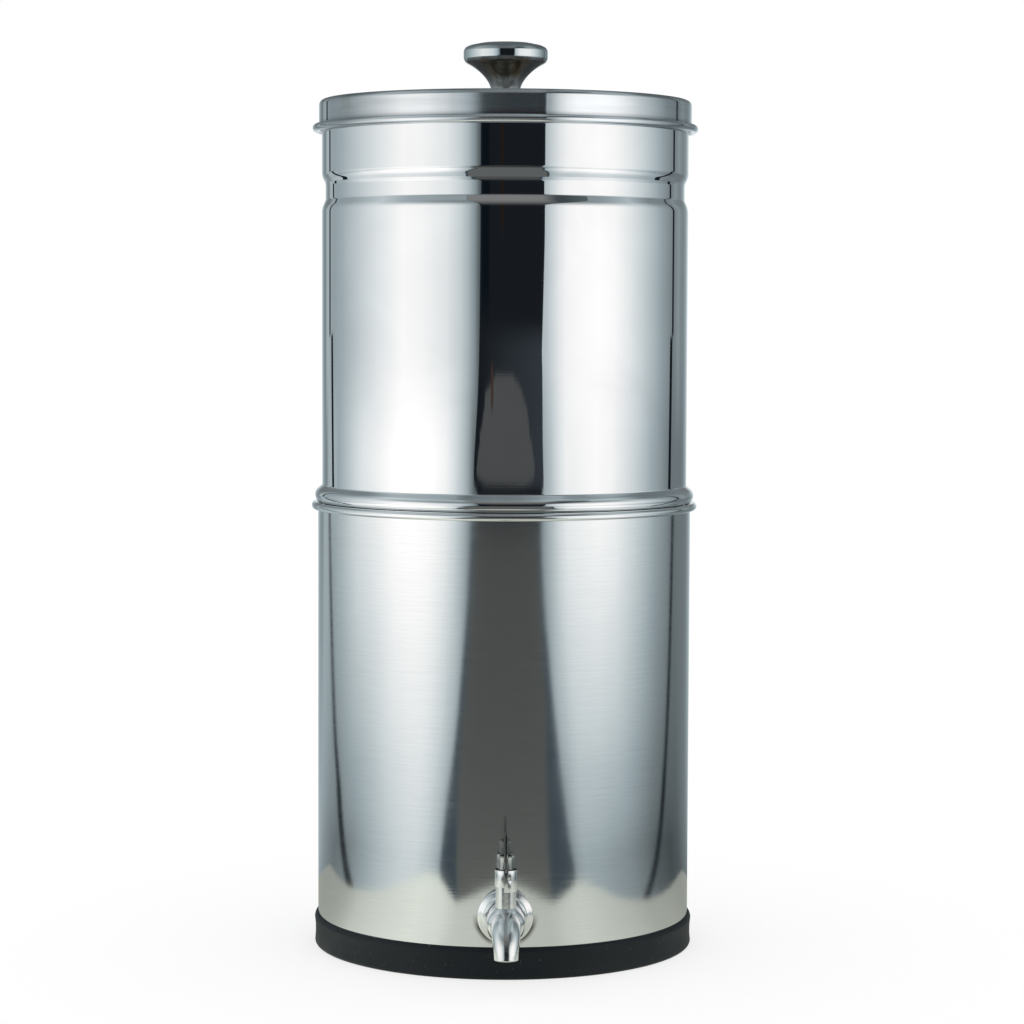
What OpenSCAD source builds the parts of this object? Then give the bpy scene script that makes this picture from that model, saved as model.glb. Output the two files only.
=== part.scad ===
// Gravity water filter: two stacked steel chambers, ceramic candles, a lid with a knob and a lever tap.
// Millimetres, +Z up. The origin is the centre of the base ring's underside. The tap faces -Y.

/* [Chambers] */
// Outside diameter of the lower chamber
chamber_d = 216; // [200:1:240]
// Height of the lower chamber, from its floor to the top of its rolled rim
lower_h = 253.2; // [220:0.1:300]
// Height of the upper chamber, from its floor to the top of its rim
upper_h = 251.4; // [220:0.1:300]
// Thickness of the drawn steel sheet
wall = 0.8; // [0.6:0.1:1.2]
// Outside radius of each chamber's bottom corner
corner_r = 6; // [4:0.5:12]
// Outside radius of the rolled edges
curl_r = 2.25; // [2:0.05:3]
// Depth to which the upper chamber sits inside the lower one
nest_depth = 22; // [16:1:40]
// Radial gap between the nested walls
nest_gap = 1.5; // [1:0.1:3]

/* [Stop bead and groove] */
// How far the stop bead stands out from the upper chamber's wall
bead_out = 4.1; // [3.6:0.1:5]
// Height of the stop bead
bead_h = 9.5; // [8:0.5:14]
// Depth of the pressed groove near the top
groove_depth = 2.1; // [1:0.1:4]
// Height of the groove's flat bottom
groove_flat = 7.6; // [4:0.1:12]
// Height of the groove's upper slope
groove_slope = 7; // [4:0.1:10]
// From the upper chamber's rim down to the groove
groove_drop = 41.6; // [30:0.1:60]

/* [Lid and knob] */
// Radial gap between the lid's skirt and the upper chamber
lid_gap = 0.9; // [0.5:0.1:2]
// Height of the lid
lid_h = 18.45; // [14:0.05:26]
// Diameter of the knob
knob_d = 48.6; // [40:0.1:60]
// Height of the knob
knob_h = 33.7; // [28:0.1:45]
// Diameter of the knob's neck
neck_d = 15.8; // [14:0.1:20]
// Diameter of the knob's screw
knob_screw_d = 6; // [5:0.5:8]

/* [Base ring] */
// Height of the rubber base ring
ring_h = 18; // [16:1:30]
// How far the ring stands out from the lower chamber
ring_out = 2; // [1.5:0.1:4]
// Thickness of the foot under the chamber
ring_foot = 5; // [4.5:0.1:8]
// Width of the flat seat under the chamber's floor
ring_seat = 6; // [4:0.5:12]

/* [Candles] */
// Diameter of a ceramic candle
candle_d = 48; // [40:1:56]
// Height of a candle with its base
candle_h = 178; // [140:1:200]
// Thickness of the ceramic wall
ceramic_wall = 7; // [5:0.5:9]
// Radial gap between the ceramic and the carbon core
core_gap = 2; // [1:0.5:4]
// Distance of the candles and plugs from the middle
candle_reach = 50; // [44:1:60]
// Diameter of a candle's threaded stem
stem_d = 12; // [10:0.5:14]
// Length of a candle's stem below its base
candle_stem_len = 30; // [24:1:40]
// Thickness of a candle's sealing washer
seal_t = 2.5; // [1.5:0.1:4]
// Height of a wing nut
wing_nut_h = 9; // [7:0.5:12]

/* [Tap body] */
// Diameter of the tap's flange
flange_d = 30.8; // [28:0.1:36]
// Diameter of the tap's threaded shank
shank_d = 15.8; // [14:0.1:18]
// Thickness of the outer gasket at its middle
gasket_t = 2.2; // [1.5:0.1:4]
// Thickness of the inner gasket at its middle
inner_gasket_t = 3; // [2.4:0.1:5]
// Height of the nut inside the chamber
tap_nut_h = 7; // [5:0.5:10]
// From the chamber's wall to the axis of the barrel
barrel_reach = 24; // [22:0.5:30]
// Diameter of the ball that holds the valve seat
ball_d = 21.8; // [20:0.1:26]
// Diameter of the barrel
barrel_d = 11.24; // [11.2:0.02:13]
// Height of the barrel above the shank's axis
barrel_h = 22; // [20:0.5:28]
// From the barrel's axis to the outlet's axis
outlet_reach = 20; // [18:0.5:28]
// Depth of the outlet below the shank's axis
outlet_drop = 15.2; // [13:0.1:24]
// Outside diameter of the spout where it leaves the ball
spout_d = 17.8; // [16:0.1:20]
// Outside diameter of the outlet
outlet_d = 13.6; // [12:0.1:16]
// Wall of the outlet
outlet_wall = 1.6; // [1.2:0.1:2.4]
// Diameter of the bore through the shank
inlet_d = 7; // [5:0.5:9]
// Diameter of the valve seat's hole
seat_d = 4.4; // [3:0.1:5]

/* [Tap head] */
// Wall of the collar
collar_wall = 0.4; // [0.3:0.05:0.8]
// Height of the collar at its long side
collar_h = 11.8; // [11:0.1:14]
// Height of the step in the collar's lower edge
collar_step = 2.6; // [2:0.1:3.4]
// Diameter of the clevis
clevis_d = 8.7; // [8:0.1:8.9]
// Height of the lever's pin above the notches in the collar
pin_rise = 5.4; // [5.2:0.1:6.4]
// Diameter of the lever's pin
pin_d = 1.8; // [1.5:0.1:2.4]
// Thickness of the lever
lever_t = 1.3; // [1:0.1:1.8]
// Height of the lever above its pin
lever_rise = 16.5; // [16:0.5:40]
// Angle through which the lever tilts
lever_tilt = 35; // [25:1:36]
// Diameter of the stem's rod
rod_d = 4; // [3.4:0.1:4.2]
// Diameter of the spring's wire
spring_wire = 0.7; // [0.5:0.05:0.9]

/* [Fits] */
// Gap of a running fit, on the radius
run_fit = 0.08; // [0.05:0.01:0.1]
// Gap of a push fit or a thread, on the radius
push_fit = 0.05; // [0.03:0.01:0.08]
// Gap where a loose piece rests on another
rest_gap = 0.3; // [0.2:0.05:0.4]

/* [Hidden] */

$fn = 96;

// Radii of the drawn pieces, from the lower chamber outwards and inwards
lower_r = chamber_d / 2;
upper_r = lower_r - wall - nest_gap;
lid_r = upper_r + lid_gap + wall;
curl_in = curl_r - wall;
lid_corner_r = lid_gap + wall + curl_r;

// Heights of the stack, from the floor up
floor_z = ring_foot;
rim_z = floor_z + lower_h;
seat_z = rim_z + rest_gap;
upper_floor_z = seat_z - nest_depth;
upper_rim_z = upper_floor_z + upper_h;
lid_under_z = upper_rim_z + rest_gap;
lid_top_z = lid_under_z + wall;
candle_z = upper_floor_z + wall + seal_t;

// Tap: heights along the barrel, and distances from the chamber's axis along -Y
flange_r = flange_d / 2;
tap_ring_gap = 2.6;
shank_over = 6;
seat_inset = 1;
tap_z = ring_h + flange_r + tap_ring_gap;
flange_y = lower_r + gasket_t;
flange_t = 5.4;
neck_r = 9.2;
gasket_r = flange_r - 3;
inner_wall_r = lower_r - wall;
washer_y = inner_wall_r - inner_gasket_t;
washer_t = 1.2;
nut_y = washer_y - washer_t;
shank_end_y = nut_y - tap_nut_h - shank_over;
barrel_y = lower_r + barrel_reach;
outlet_y = barrel_y + outlet_reach;
outlet_z = tap_z - outlet_drop;
outlet_bore_r = outlet_d / 2 - outlet_wall;
barrel_r = barrel_d / 2;
barrel_wall = 1.02;
bore_r = barrel_r - barrel_wall;
valve_seat_z = tap_z - seat_inset;
seat_web = 1.6;
seat_wall = 1.4;
barrel_top_z = tap_z + barrel_h;

// Tap head, up from the barrel's top
gland_head_h = 6.7;
gland_plug_h = 5.5;
gland_floor = 1.4;
gland_top_z = barrel_top_z + gland_head_h;
cup_z = barrel_top_z + gland_floor;
cup_r = clevis_d / 2 + run_fit;
tight_fit = 0.02;
gland_r = barrel_r - tight_fit;
notch_z = gland_top_z + 0.5;
notch_depth = 1;
notch_w = lever_t + 0.5;
collar_r_in = barrel_r + run_fit;
collar_r = collar_r_in + collar_wall;
collar_top_z = notch_z + notch_depth;
collar_low_z = collar_top_z - collar_h;
clevis_z = cup_z + rest_gap;
clevis_web = 1.3;
pin_z = notch_z + pin_rise;
prong_over = 3.2;
clevis_top_z = pin_z + prong_over;
slot_w = lever_t + 0.6;
tab_t = 0.5;
tab_depth = 0.45;
tab_groove_z = barrel_top_z + 1.7;
tab_groove_h = 2;
tab_groove_depth = 0.55;

// Swivel of the head: a pip on the barrel stops against the two ends of the collar's short side
swivel_back = 90;
swivel_forward = 60;
pip_half = 9;
stop_play = 1.5;
short_start = 90;
pip_angle = short_start + swivel_forward + stop_play + pip_half;
short_end = pip_angle + pip_half + stop_play + swivel_back;

// Stem, plunger and spring
rod_r = rod_d / 2;
plunger_h = 6.5;
plunger_r = bore_r - 0.7;
plunger_socket = 3;
stem_flange_z = valve_seat_z + plunger_h;
stem_flange_t = 1.5;
stem_flange_r = bore_r - 0.4;
spring_z0 = stem_flange_z + stem_flange_t;
spring_z1 = barrel_top_z - gland_plug_h;
spring_turns = 4.5;
spring_rod_gap = 0.9;
spring_r = rod_r + spring_rod_gap + spring_wire / 2;
o_ring_wire_r = 0.7;
o_ring_z = barrel_top_z - gland_plug_h / 2;

// Lever: its heel is an involute of a circle, so that the stem rises in step with the tilt
cam_k = (collar_r_in + collar_r) / 2;
cam_h = pin_rise - push_fit;

steel = [0.78, 0.79, 0.80];
satin = [0.72, 0.73, 0.73];
rubber = [0.13, 0.14, 0.15];
silicone = [0.85, 0.85, 0.82];
plastic = [0.92, 0.92, 0.90];

// ---- Helpers -------------------------------------------------------------------------------

function unit(v) = v / norm(v);
function left_of(v) = [-v[1], v[0]];
function seg_left(p, i) = left_of(unit(p[i + 1] - p[i]));
function reversed(p) = [for (i = [len(p) - 1:-1:0]) p[i]];
function arc(c, r, a0, a1, n) = [for (i = [0:n]) let (a = a0 + (a1 - a0) * i / n) c + r * [cos(a), sin(a)]];

// Copies an outline at a distance d to its left
function beside(p, d) = [
    for (i = [0:len(p) - 1])
    let (
        a = seg_left(p, max(i - 1, 0)),
        b = seg_left(p, min(i, len(p) - 2)),
        m = unit(a + b)
    ) p[i] + m * d / (m * a)
];

// A drawn and spun sheet: one side's outline, and the sheet's thickness to its left
module drawn(path, t) {
    rotate_extrude() polygon(concat(path, reversed(beside(path, t))));
}

function bezier(p, t) =
    pow(1 - t, 3) * p[0] + 3 * pow(1 - t, 2) * t * p[1] + 3 * (1 - t) * t * t * p[2] + pow(t, 3) * p[3];
function bezier_way(p, t) =
    unit(pow(1 - t, 2) * (p[1] - p[0]) + 2 * (1 - t) * t * (p[2] - p[1]) + t * t * (p[3] - p[2]));

// A tapered round tube along a curve that lies in the tap's middle plane, given as [-y, z]
module swept(p, r0, r1, rings, sides) {
    pts = [
        for (i = [0:rings], j = [0:sides - 1])
        let (
            t = i / rings,
            c = bezier(p, t),
            n = left_of(bezier_way(p, t)),
            r = r0 + (r1 - r0) * t,
            q = c + r * sin(360 * j / sides) * n
        ) [r * cos(360 * j / sides), -q[0], q[1]]
    ];
    sides_f = [
        for (i = [0:rings - 1], j = [0:sides - 1])
        let (a = i * sides + j, b = i * sides + (j + 1) % sides) [a, a + sides, b + sides, b]
    ];
    caps = [[for (j = [0:sides - 1]) j], [for (j = [sides - 1:-1:0]) rings * sides + j]];
    polyhedron(pts, concat(sides_f, caps));
}

// Turns a child's +Z towards the front, at the tap's height and a distance y from the chamber's axis
module facing_front(y) {
    translate([0, -y, tap_z]) rotate([90, 0, 0]) children();
}

// Stands a flat outline [forward, up] in the tap's middle plane, t thick
module side_plate(t) {
    rotate([90, 0, -90]) translate([0, 0, -t / 2]) linear_extrude(t) children();
}

module at_barrel(z) {
    translate([0, -barrel_y, z]) children();
}

module washer_at(z, r_out, r_in, t) {
    translate([0, 0, z]) difference() {
        cylinder(r = r_out, h = t);
        translate([0, 0, -1]) cylinder(r = r_in, h = t + 2);
    }
}

// A hex nut round a thread of diameter d, with its corners a distance rim outside the thread
module hex_nut(d, rim, h) {
    difference() {
        cylinder(r = d / 2 + rim, h = h, $fn = 6);
        translate([0, 0, -1]) cylinder(r = d / 2 + push_fit, h = h + 2);
    }
}

// ---- Base ring and lower chamber -----------------------------------------------------------

module base_ring() {
    r = lower_r + ring_out;
    r_in = lower_r - corner_r - ring_seat;
    r_wall = lower_r + push_fit;
    waist = 0.5;
    edge_r = 1.8;
    lip_h = 2.6;
    bevel_h = 1.6;
    bevel_in = 0.4;
    color(rubber) rotate_extrude() polygon(concat(
        [[r_in, 0]],
        arc([r - edge_r, edge_r], edge_r, -90, 0, 5),
        [[r - waist, ring_h * 0.3], [r - waist, ring_h * 0.6], [r, ring_h - lip_h]],
        [[r - bevel_in, ring_h - bevel_h], [r_wall, ring_h], [r_wall, ring_foot], [r_in, ring_foot]]
    ));
}

hole_play = 0.6;

lower_path = concat(
    [[0, floor_z]],
    arc([lower_r - corner_r, floor_z + corner_r], corner_r, -90, 0, 6),
    arc([lower_r + curl_in, rim_z - curl_r], curl_in, 180, -110, 12)
);

module lower_chamber() {
    color(satin) difference() {
        drawn(lower_path, wall);
        facing_front(shank_end_y) cylinder(d = shank_d + hole_play, h = lower_r);
    }
}

// ---- Tap -----------------------------------------------------------------------------------

outlet_bore_l = 3;
bend_y = barrel_y + outlet_reach * 0.7;
spout_path = [
    [barrel_y, tap_z], [bend_y, tap_z], [outlet_y, outlet_z + outlet_drop * 0.74], [outlet_y, outlet_z]
];

water_start_r = seat_d / 2 + 0.2;
water_end_r = outlet_bore_r - 0.2;
water_z = valve_seat_z - seat_web - water_start_r;
water_path = [[barrel_y, water_z], [bend_y, water_z], [outlet_y, water_z + 2], [outlet_y, outlet_z - 1]];

// The flange is a dished disc, with a raised hub of two steps round the neck
module flange_and_hub() {
    hub_r = flange_r - 3.2;
    disc_t = 2;
    hub_z = 3.2;
    facing_front(flange_y) rotate_extrude() polygon([
        [0, 0], [flange_r - 0.6, 0], [flange_r, 0.5], [flange_r, disc_t - 0.6], [flange_r - 0.7, disc_t],
        [hub_r, hub_z], [hub_r - 0.4, hub_z + 1.4], [hub_r - 1.3, flange_t - 0.2],
        [neck_r, flange_t], [0, flange_t]
    ]);
}

// Stands out of the barrel below the collar's short side
module stop_pip() {
    sunk = 0.3;
    play = 0.25;
    at_barrel(collar_low_z + play) rotate([0, 0, pip_angle - pip_half])
        rotate_extrude(angle = 2 * pip_half)
        translate([barrel_r - sunk, 0]) square([collar_r - barrel_r + sunk, collar_step - 2 * play]);
}

module tap_body() {
    inlet_end_y = barrel_y - seat_d / 2 - seat_wall;
    color(steel) difference() {
        union() {
            facing_front(shank_end_y) cylinder(d = shank_d, h = flange_y - shank_end_y + 1);
            flange_and_hub();
            facing_front(flange_y + 1) cylinder(r = neck_r, h = barrel_y - flange_y - 1);
            at_barrel(tap_z) sphere(d = ball_d);
            at_barrel(tap_z) cylinder(r = barrel_r, h = barrel_h);
            swept(spout_path, spout_d / 2, outlet_d / 2, 14, 40);
            stop_pip();
        }
        facing_front(shank_end_y - 1) cylinder(d = inlet_d, h = inlet_end_y - shank_end_y + 1);
        at_barrel(valve_seat_z) cylinder(r = bore_r, h = barrel_h + seat_inset + 1);
        at_barrel(water_z) cylinder(d = seat_d, h = valve_seat_z - water_z + 1);
        swept(water_path, water_start_r, water_end_r, 10, 24);
        translate([0, -outlet_y, outlet_z - 1]) cylinder(r = outlet_bore_r, h = outlet_bore_l + 1);
    }
}

gasket_blank_t = gasket_t + 1.5;
gasket_hole_r = shank_d / 2 + push_fit;

module tap_outer_gasket() {
    color(rubber) difference() {
        facing_front(flange_y - gasket_blank_t) cylinder(r = gasket_r, h = gasket_blank_t);
        facing_front(inner_wall_r) cylinder(r = gasket_hole_r, h = lower_r);
        cylinder(r = lower_r + push_fit, h = tap_z + flange_d, $fn = 360);
    }
}

module tap_inner_gasket() {
    color(rubber) intersection() {
        cylinder(r = inner_wall_r - push_fit, h = tap_z + flange_d, $fn = 360);
        difference() {
            facing_front(washer_y) cylinder(r = gasket_r, h = inner_gasket_t + 1);
            facing_front(shank_end_y) cylinder(r = gasket_hole_r, h = lower_r);
        }
    }
}

module tap_washer() {
    color(steel) facing_front(nut_y) washer_at(0, gasket_r, gasket_hole_r, washer_t);
}

module tap_nut() {
    color(steel) facing_front(nut_y - tap_nut_h) hex_nut(shank_d, 4.8, tap_nut_h);
}

module tap_gland() {
    seal_groove_r = rod_r + run_fit + 2 * o_ring_wire_r + push_fit;
    color(steel) at_barrel(0) difference() {
        union() {
            translate([0, 0, spring_z1]) cylinder(r = bore_r - push_fit, h = gland_plug_h + 1);
            translate([0, 0, barrel_top_z]) cylinder(r = gland_r, h = gland_head_h);
        }
        translate([0, 0, cup_z]) cylinder(r = cup_r, h = gland_head_h);
        translate([0, 0, spring_z1 - 1]) cylinder(r = rod_r + run_fit, h = gland_plug_h + gland_floor + 2);
        translate([0, 0, o_ring_z - o_ring_wire_r]) cylinder(r = seal_groove_r, h = 2 * o_ring_wire_r);
        washer_at(tab_groove_z, gland_r + 1, gland_r - tab_groove_depth, tab_groove_h);
    }
}

module tap_stem_seal() {
    color(rubber) at_barrel(o_ring_z) rotate_extrude()
        translate([rod_r + run_fit + o_ring_wire_r, 0]) circle(r = o_ring_wire_r, $fn = 24);
}

module tap_stem() {
    color(steel) at_barrel(0) {
        translate([0, 0, stem_flange_z - plunger_socket])
            cylinder(r = rod_r, h = clevis_z + clevis_web - stem_flange_z + plunger_socket);
        translate([0, 0, stem_flange_z]) cylinder(r = stem_flange_r, h = stem_flange_t);
    }
}

module tap_plunger() {
    tip_r = seat_d / 2 - 0.3;
    tip_z = valve_seat_z - 0.6;
    face_z = valve_seat_z + push_fit;
    color(rubber) at_barrel(0) difference() {
        rotate_extrude() polygon([
            [0, tip_z], [tip_r - 0.4, tip_z], [tip_r, valve_seat_z], [tip_r + 0.1, face_z],
            [plunger_r, face_z], [plunger_r, valve_seat_z + 2.4], [plunger_r - 0.8, stem_flange_z],
            [0, stem_flange_z]
        ]);
        translate([0, 0, stem_flange_z - plunger_socket]) cylinder(r = rod_r, h = plunger_socket + 1);
    }
}

// Compression spring with its end turns laid flat against the two seats
module tap_spring() {
    wire = spring_wire / 2;
    low_z = spring_z0 + push_fit + wire;
    high_z = spring_z1 - push_fit - wire;
    steps = 16;
    sides = 8;
    rings = spring_turns * steps;
    function rise(turn) = min(1, max(0, (turn - 0.5) / (spring_turns - 1)));
    function turn_z(i) = low_z + (high_z - low_z) * rise(i / steps);
    pts = [
        for (i = [0:rings], j = [0:sides - 1])
        let (r = spring_r + wire * cos(360 * j / sides), z = turn_z(i) + wire * sin(360 * j / sides))
        [r * cos(360 * i / steps), r * sin(360 * i / steps) - barrel_y, z]
    ];
    sides_f = [
        for (i = [0:rings - 1], j = [0:sides - 1])
        let (a = i * sides + j, b = i * sides + (j + 1) % sides) [a, b, b + sides, a + sides]
    ];
    caps = [[for (j = [sides - 1:-1:0]) j], [for (j = [0:sides - 1]) rings * sides + j]];
    color(steel) polyhedron(pts, concat(sides_f, caps));
}

module tap_clevis() {
    r = clevis_d / 2;
    round_r = 1.2;
    color(steel) at_barrel(0) difference() {
        rotate_extrude() polygon(concat(
            [[0, clevis_z], [r, clevis_z]],
            arc([r - round_r, clevis_top_z - round_r], round_r, 0, 90, 4),
            [[0, clevis_top_z]]
        ));
        translate([-slot_w / 2, -r - 1, clevis_z + clevis_web])
            cube([slot_w, clevis_d + 2, clevis_top_z - clevis_z]);
        translate([0, 0, clevis_z - 1]) cylinder(r = rod_r + tight_fit, h = clevis_web + 2);
        translate([-r - 1, 0, pin_z]) rotate([0, 90, 0])
            cylinder(r = pin_d / 2 + tight_fit, h = clevis_d + 2);
    }
}

module tap_collar() {
    tab_w = 2.4;
    tab_angle = 288;
    tab_z = tab_groove_z + (tab_groove_h - tab_t) / 2;
    window_h = 1.5;
    window_w = tab_w + 0.2;
    span = 2 * collar_r + 2;
    color(steel) at_barrel(0) {
        difference() {
            washer_at(collar_low_z, collar_r, collar_r_in, collar_h);
            rotate([0, 0, short_start]) rotate_extrude(angle = short_end - short_start)
                translate([collar_r_in - 1, collar_low_z - 1]) square([collar_wall + 2, collar_step + 1]);
            translate([-notch_w / 2, -span / 2, notch_z]) cube([notch_w, span, notch_depth + 1]);
            rotate([0, 0, tab_angle]) translate([collar_r_in - 1, 0, tab_z + tab_t]) rotate([90, 0, 90])
                linear_extrude(collar_wall + 2)
                polygon([[-window_w / 2, 0], [window_w / 2, 0], [0, window_h]]);
        }
        rotate([0, 0, tab_angle]) translate([collar_r_in - tab_depth, -tab_w / 2, tab_z])
            cube([tab_depth + collar_wall / 2, tab_w, tab_t]);
    }
}

// The heel's outline, as [forward, up] from the pin: the line that stays on the notches as it tilts
function heel(a) = (cam_h + cam_k * a * PI / 180) * [sin(a), -cos(a)] + cam_k * [cos(a), sin(a)];

module tap_lever() {
    tip_r = 2.8;
    tip_lean = 0.4;
    root_z = 4.6;
    back = -cam_k - 0.8;
    toe = heel(lever_tilt + 3);
    heel_pts = [for (a = [0:2:lever_tilt + 2]) heel(a)];
    color(steel) at_barrel(pin_z) side_plate(lever_t) difference() {
        polygon(concat(
            [[back + 0.4, -cam_h]],
            heel_pts,
            [toe, toe + [0.3, 0.9], toe + [-0.5, 1.7], [5.2, 0.8], [3.9, root_z]],
            arc([tip_lean, lever_rise - tip_r], tip_r, 0, 180, 10),
            [[-3.4, root_z], [-5.6, -1], [back, 0.5 - cam_h]]
        ));
        circle(r = pin_d / 2 + run_fit, $fn = 48);
    }
}

module tap_lever_pin() {
    color(steel) at_barrel(pin_z) translate([-clevis_d / 2, 0, 0]) rotate([0, 90, 0])
        cylinder(d = pin_d, h = clevis_d);
}

// ---- Upper chamber -------------------------------------------------------------------------

bead_r = upper_r + bead_out;
bead_low_r = 1.7;
bead_nose_r = 2.4;
bead_foot = 0.9;
groove_r = upper_r - groove_depth;
groove_top_z = upper_rim_z - groove_drop;
groove_flat_top_z = groove_top_z - groove_slope;
groove_flat_low_z = groove_flat_top_z - groove_flat;
groove_low_z = groove_flat_low_z - groove_slope * 0.75;
upper_path = concat(
    [[0, upper_floor_z]],
    arc([upper_r - corner_r, upper_floor_z + corner_r], corner_r, -90, 0, 6),
    [[upper_r, seat_z - bead_foot], [upper_r + bead_foot, seat_z]],
    arc([bead_r - bead_low_r, seat_z + bead_low_r], bead_low_r, -90, 0, 5),
    arc([bead_r - bead_nose_r, seat_z + bead_h * 0.37], bead_nose_r, 0, 52, 4),
    [[upper_r + bead_foot, seat_z + bead_h * 0.8], [upper_r + 0.25, seat_z + bead_h * 0.92]],
    [[upper_r, seat_z + bead_h]],
    [[upper_r, groove_low_z], [groove_r, groove_flat_low_z]],
    [[groove_r, groove_flat_top_z], [upper_r, groove_top_z]],
    arc([upper_r - curl_r, upper_rim_z - curl_r], curl_r, 0, 260, 12)
);

// Candles stand left and right, and the plugs front and back
module at_candle(side) {
    translate([side * candle_reach, 0, 0]) children();
}

module at_plug(side) {
    translate([0, side * candle_reach, 0]) children();
}

module upper_chamber() {
    color(steel) difference() {
        drawn(upper_path, wall);
        for (a = [0:90:270]) rotate([0, 0, a])
            translate([candle_reach, 0, upper_floor_z - 1]) cylinder(d = stem_d + hole_play, h = wall + 2);
    }
}

base_wall = 2;
base_floor = 4;
base_cup = 7;
socket_gap = 0.1;
shell_z = candle_z + base_floor;
core_r = candle_d / 2 - ceramic_wall - core_gap;

module candle_shell(side) {
    r = candle_d / 2;
    ri = r - ceramic_wall;
    top = candle_z + candle_h - r;
    color([0.95, 0.94, 0.90]) at_candle(side) rotate_extrude() polygon(concat(
        [[ri, shell_z], [r, shell_z]], arc([0, top], r, 0, 90, 10), arc([0, top], ri, 90, 0, 10)
    ));
}

module candle_core(side) {
    under_dome = 3;
    core_top = candle_z + candle_h - candle_d / 2 - under_dome;
    color([0.12, 0.12, 0.12]) at_candle(side)
        washer_at(shell_z, core_r, stem_d / 4 + 0.5, core_top - shell_z);
}

module candle_base(side) {
    r = candle_d / 2 + socket_gap + base_wall;
    bevel = 1.5;
    top = shell_z + base_cup;
    color(plastic) at_candle(side) difference() {
        union() {
            rotate_extrude() polygon([
                [0, candle_z], [r - bevel, candle_z], [r, candle_z + bevel], [r, top], [0, top]
            ]);
            translate([0, 0, candle_z - candle_stem_len]) cylinder(d = stem_d, h = candle_stem_len + 1);
        }
        translate([0, 0, shell_z]) cylinder(r = candle_d / 2 + socket_gap, h = base_cup + 1);
        translate([0, 0, candle_z - candle_stem_len - 1])
            cylinder(d = stem_d / 2, h = candle_stem_len + base_floor + 2);
    }
}

module sealing_washer() {
    washer_at(candle_z - seal_t, stem_d, stem_d / 2 + push_fit, seal_t);
}

module candle_washer(side) {
    color(silicone) at_candle(side) sealing_washer();
}

module candle_wing_nut(side) {
    hub_r = stem_d / 2 + 3.5;
    wing_reach = hub_r + 10;
    wing_t = 3.5;
    wing_r = 4;
    low_z = upper_floor_z - wing_nut_h;
    color(plastic) at_candle(side) difference() {
        union() {
            translate([0, 0, low_z]) cylinder(r = hub_r, h = wing_nut_h);
            for (a = [0, 180]) rotate([0, 0, a]) rotate([90, 0, 0])
                translate([0, 0, -wing_t / 2]) linear_extrude(wing_t) polygon(concat(
                    [[hub_r - 2, upper_floor_z - 1.5], [hub_r - 2, low_z + 1]],
                    arc([wing_reach - wing_r, low_z - 1], wing_r, -90, 0, 5),
                    [[wing_reach, low_z + 4], [wing_reach - 3, low_z + 5.5]]
                ));
        }
        translate([0, 0, low_z - 1]) cylinder(r = stem_d / 2 + push_fit, h = wing_nut_h + 2);
        translate([0, 0, low_z - 2 * wing_r]) cylinder(r = hub_r - 1, h = 2 * wing_r);
    }
}

blank_nut_h = 6.5;

module blank_plug(side) {
    head_r = stem_d - 1;
    head_h = 4;
    below_nut = 4;
    end_z = upper_floor_z - blank_nut_h - below_nut;
    color(plastic) at_plug(side) {
        rotate_extrude() polygon([
            [0, candle_z], [head_r, candle_z], [head_r, candle_z + 2.5],
            [head_r - 2, candle_z + head_h], [0, candle_z + head_h]
        ]);
        translate([0, 0, end_z]) cylinder(d = stem_d, h = candle_z - end_z + 1);
    }
}

module blank_washer(side) {
    color(silicone) at_plug(side) sealing_washer();
}

module blank_nut(side) {
    color(plastic) at_plug(side)
        translate([0, 0, upper_floor_z - blank_nut_h]) hex_nut(stem_d, 5, blank_nut_h);
}

// ---- Lid -----------------------------------------------------------------------------------

lid_washer_t = 1.2;
washer_under_z = lid_under_z - lid_washer_t;
screw_l = 14;

// Runs from the skirt's rolled edge up and in to the middle
lid_path = concat(
    arc([lid_r + curl_in, lid_top_z - lid_h + curl_r], curl_in, 470, 180, 12),
    arc([lid_r - lid_corner_r, lid_top_z - lid_corner_r], lid_corner_r, 0, 90, 6),
    [[0, lid_top_z]]
);

module lid() {
    color(steel) difference() {
        drawn(lid_path, wall);
        translate([0, 0, lid_under_z - 1]) cylinder(d = knob_screw_d + hole_play, h = wall + 2);
    }
}

// Knob: a concave neck under a rounded, slightly domed disc
module lid_knob() {
    r = knob_d / 2;
    top = lid_top_z + knob_h;
    neck_r = neck_d / 2;
    foot_r = neck_r + 1.6;
    neck_z = lid_top_z + 6.2;
    disc_z = top - 11.9;
    neck = [
        [neck_r, neck_z], [neck_r + 0.5, neck_z + (disc_z - neck_z) * 0.35],
        [neck_r + 7, disc_z - 3.6], [r - 1.8, disc_z]
    ];
    color(steel) difference() {
        rotate_extrude() polygon(concat(
            [[0, lid_top_z], [foot_r, lid_top_z], [foot_r, lid_top_z + 1.2], [neck_r + 0.4, lid_top_z + 2.4]],
            [for (i = [0:9]) bezier(neck, i / 9)],
            [[r - 1, disc_z + 1], [r, top - 9], [r, top - 6], [r - 0.7, top - 3.9]],
            [[r - 3.4, top - 2.3], [r - 9.9, top - 0.6], [0, top]]
        ));
        translate([0, 0, lid_top_z - 1]) cylinder(r = knob_screw_d / 2 + push_fit, h = screw_l + 2);
    }
}

module lid_washer() {
    color(steel)
        washer_at(washer_under_z, knob_screw_d + 3, knob_screw_d / 2 + push_fit, lid_washer_t);
}

module lid_screw() {
    head_h = 3.5;
    color(steel) difference() {
        union() {
            translate([0, 0, washer_under_z - head_h]) cylinder(d = 1.7 * knob_screw_d, h = head_h);
            translate([0, 0, washer_under_z - 1]) cylinder(d = knob_screw_d, h = screw_l + 1);
        }
        translate([0, 0, washer_under_z - head_h - 1]) cylinder(d = 0.8 * knob_screw_d, h = head_h, $fn = 6);
    }
}

// ---- Nodes ---------------------------------------------------------------------------------

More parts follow.
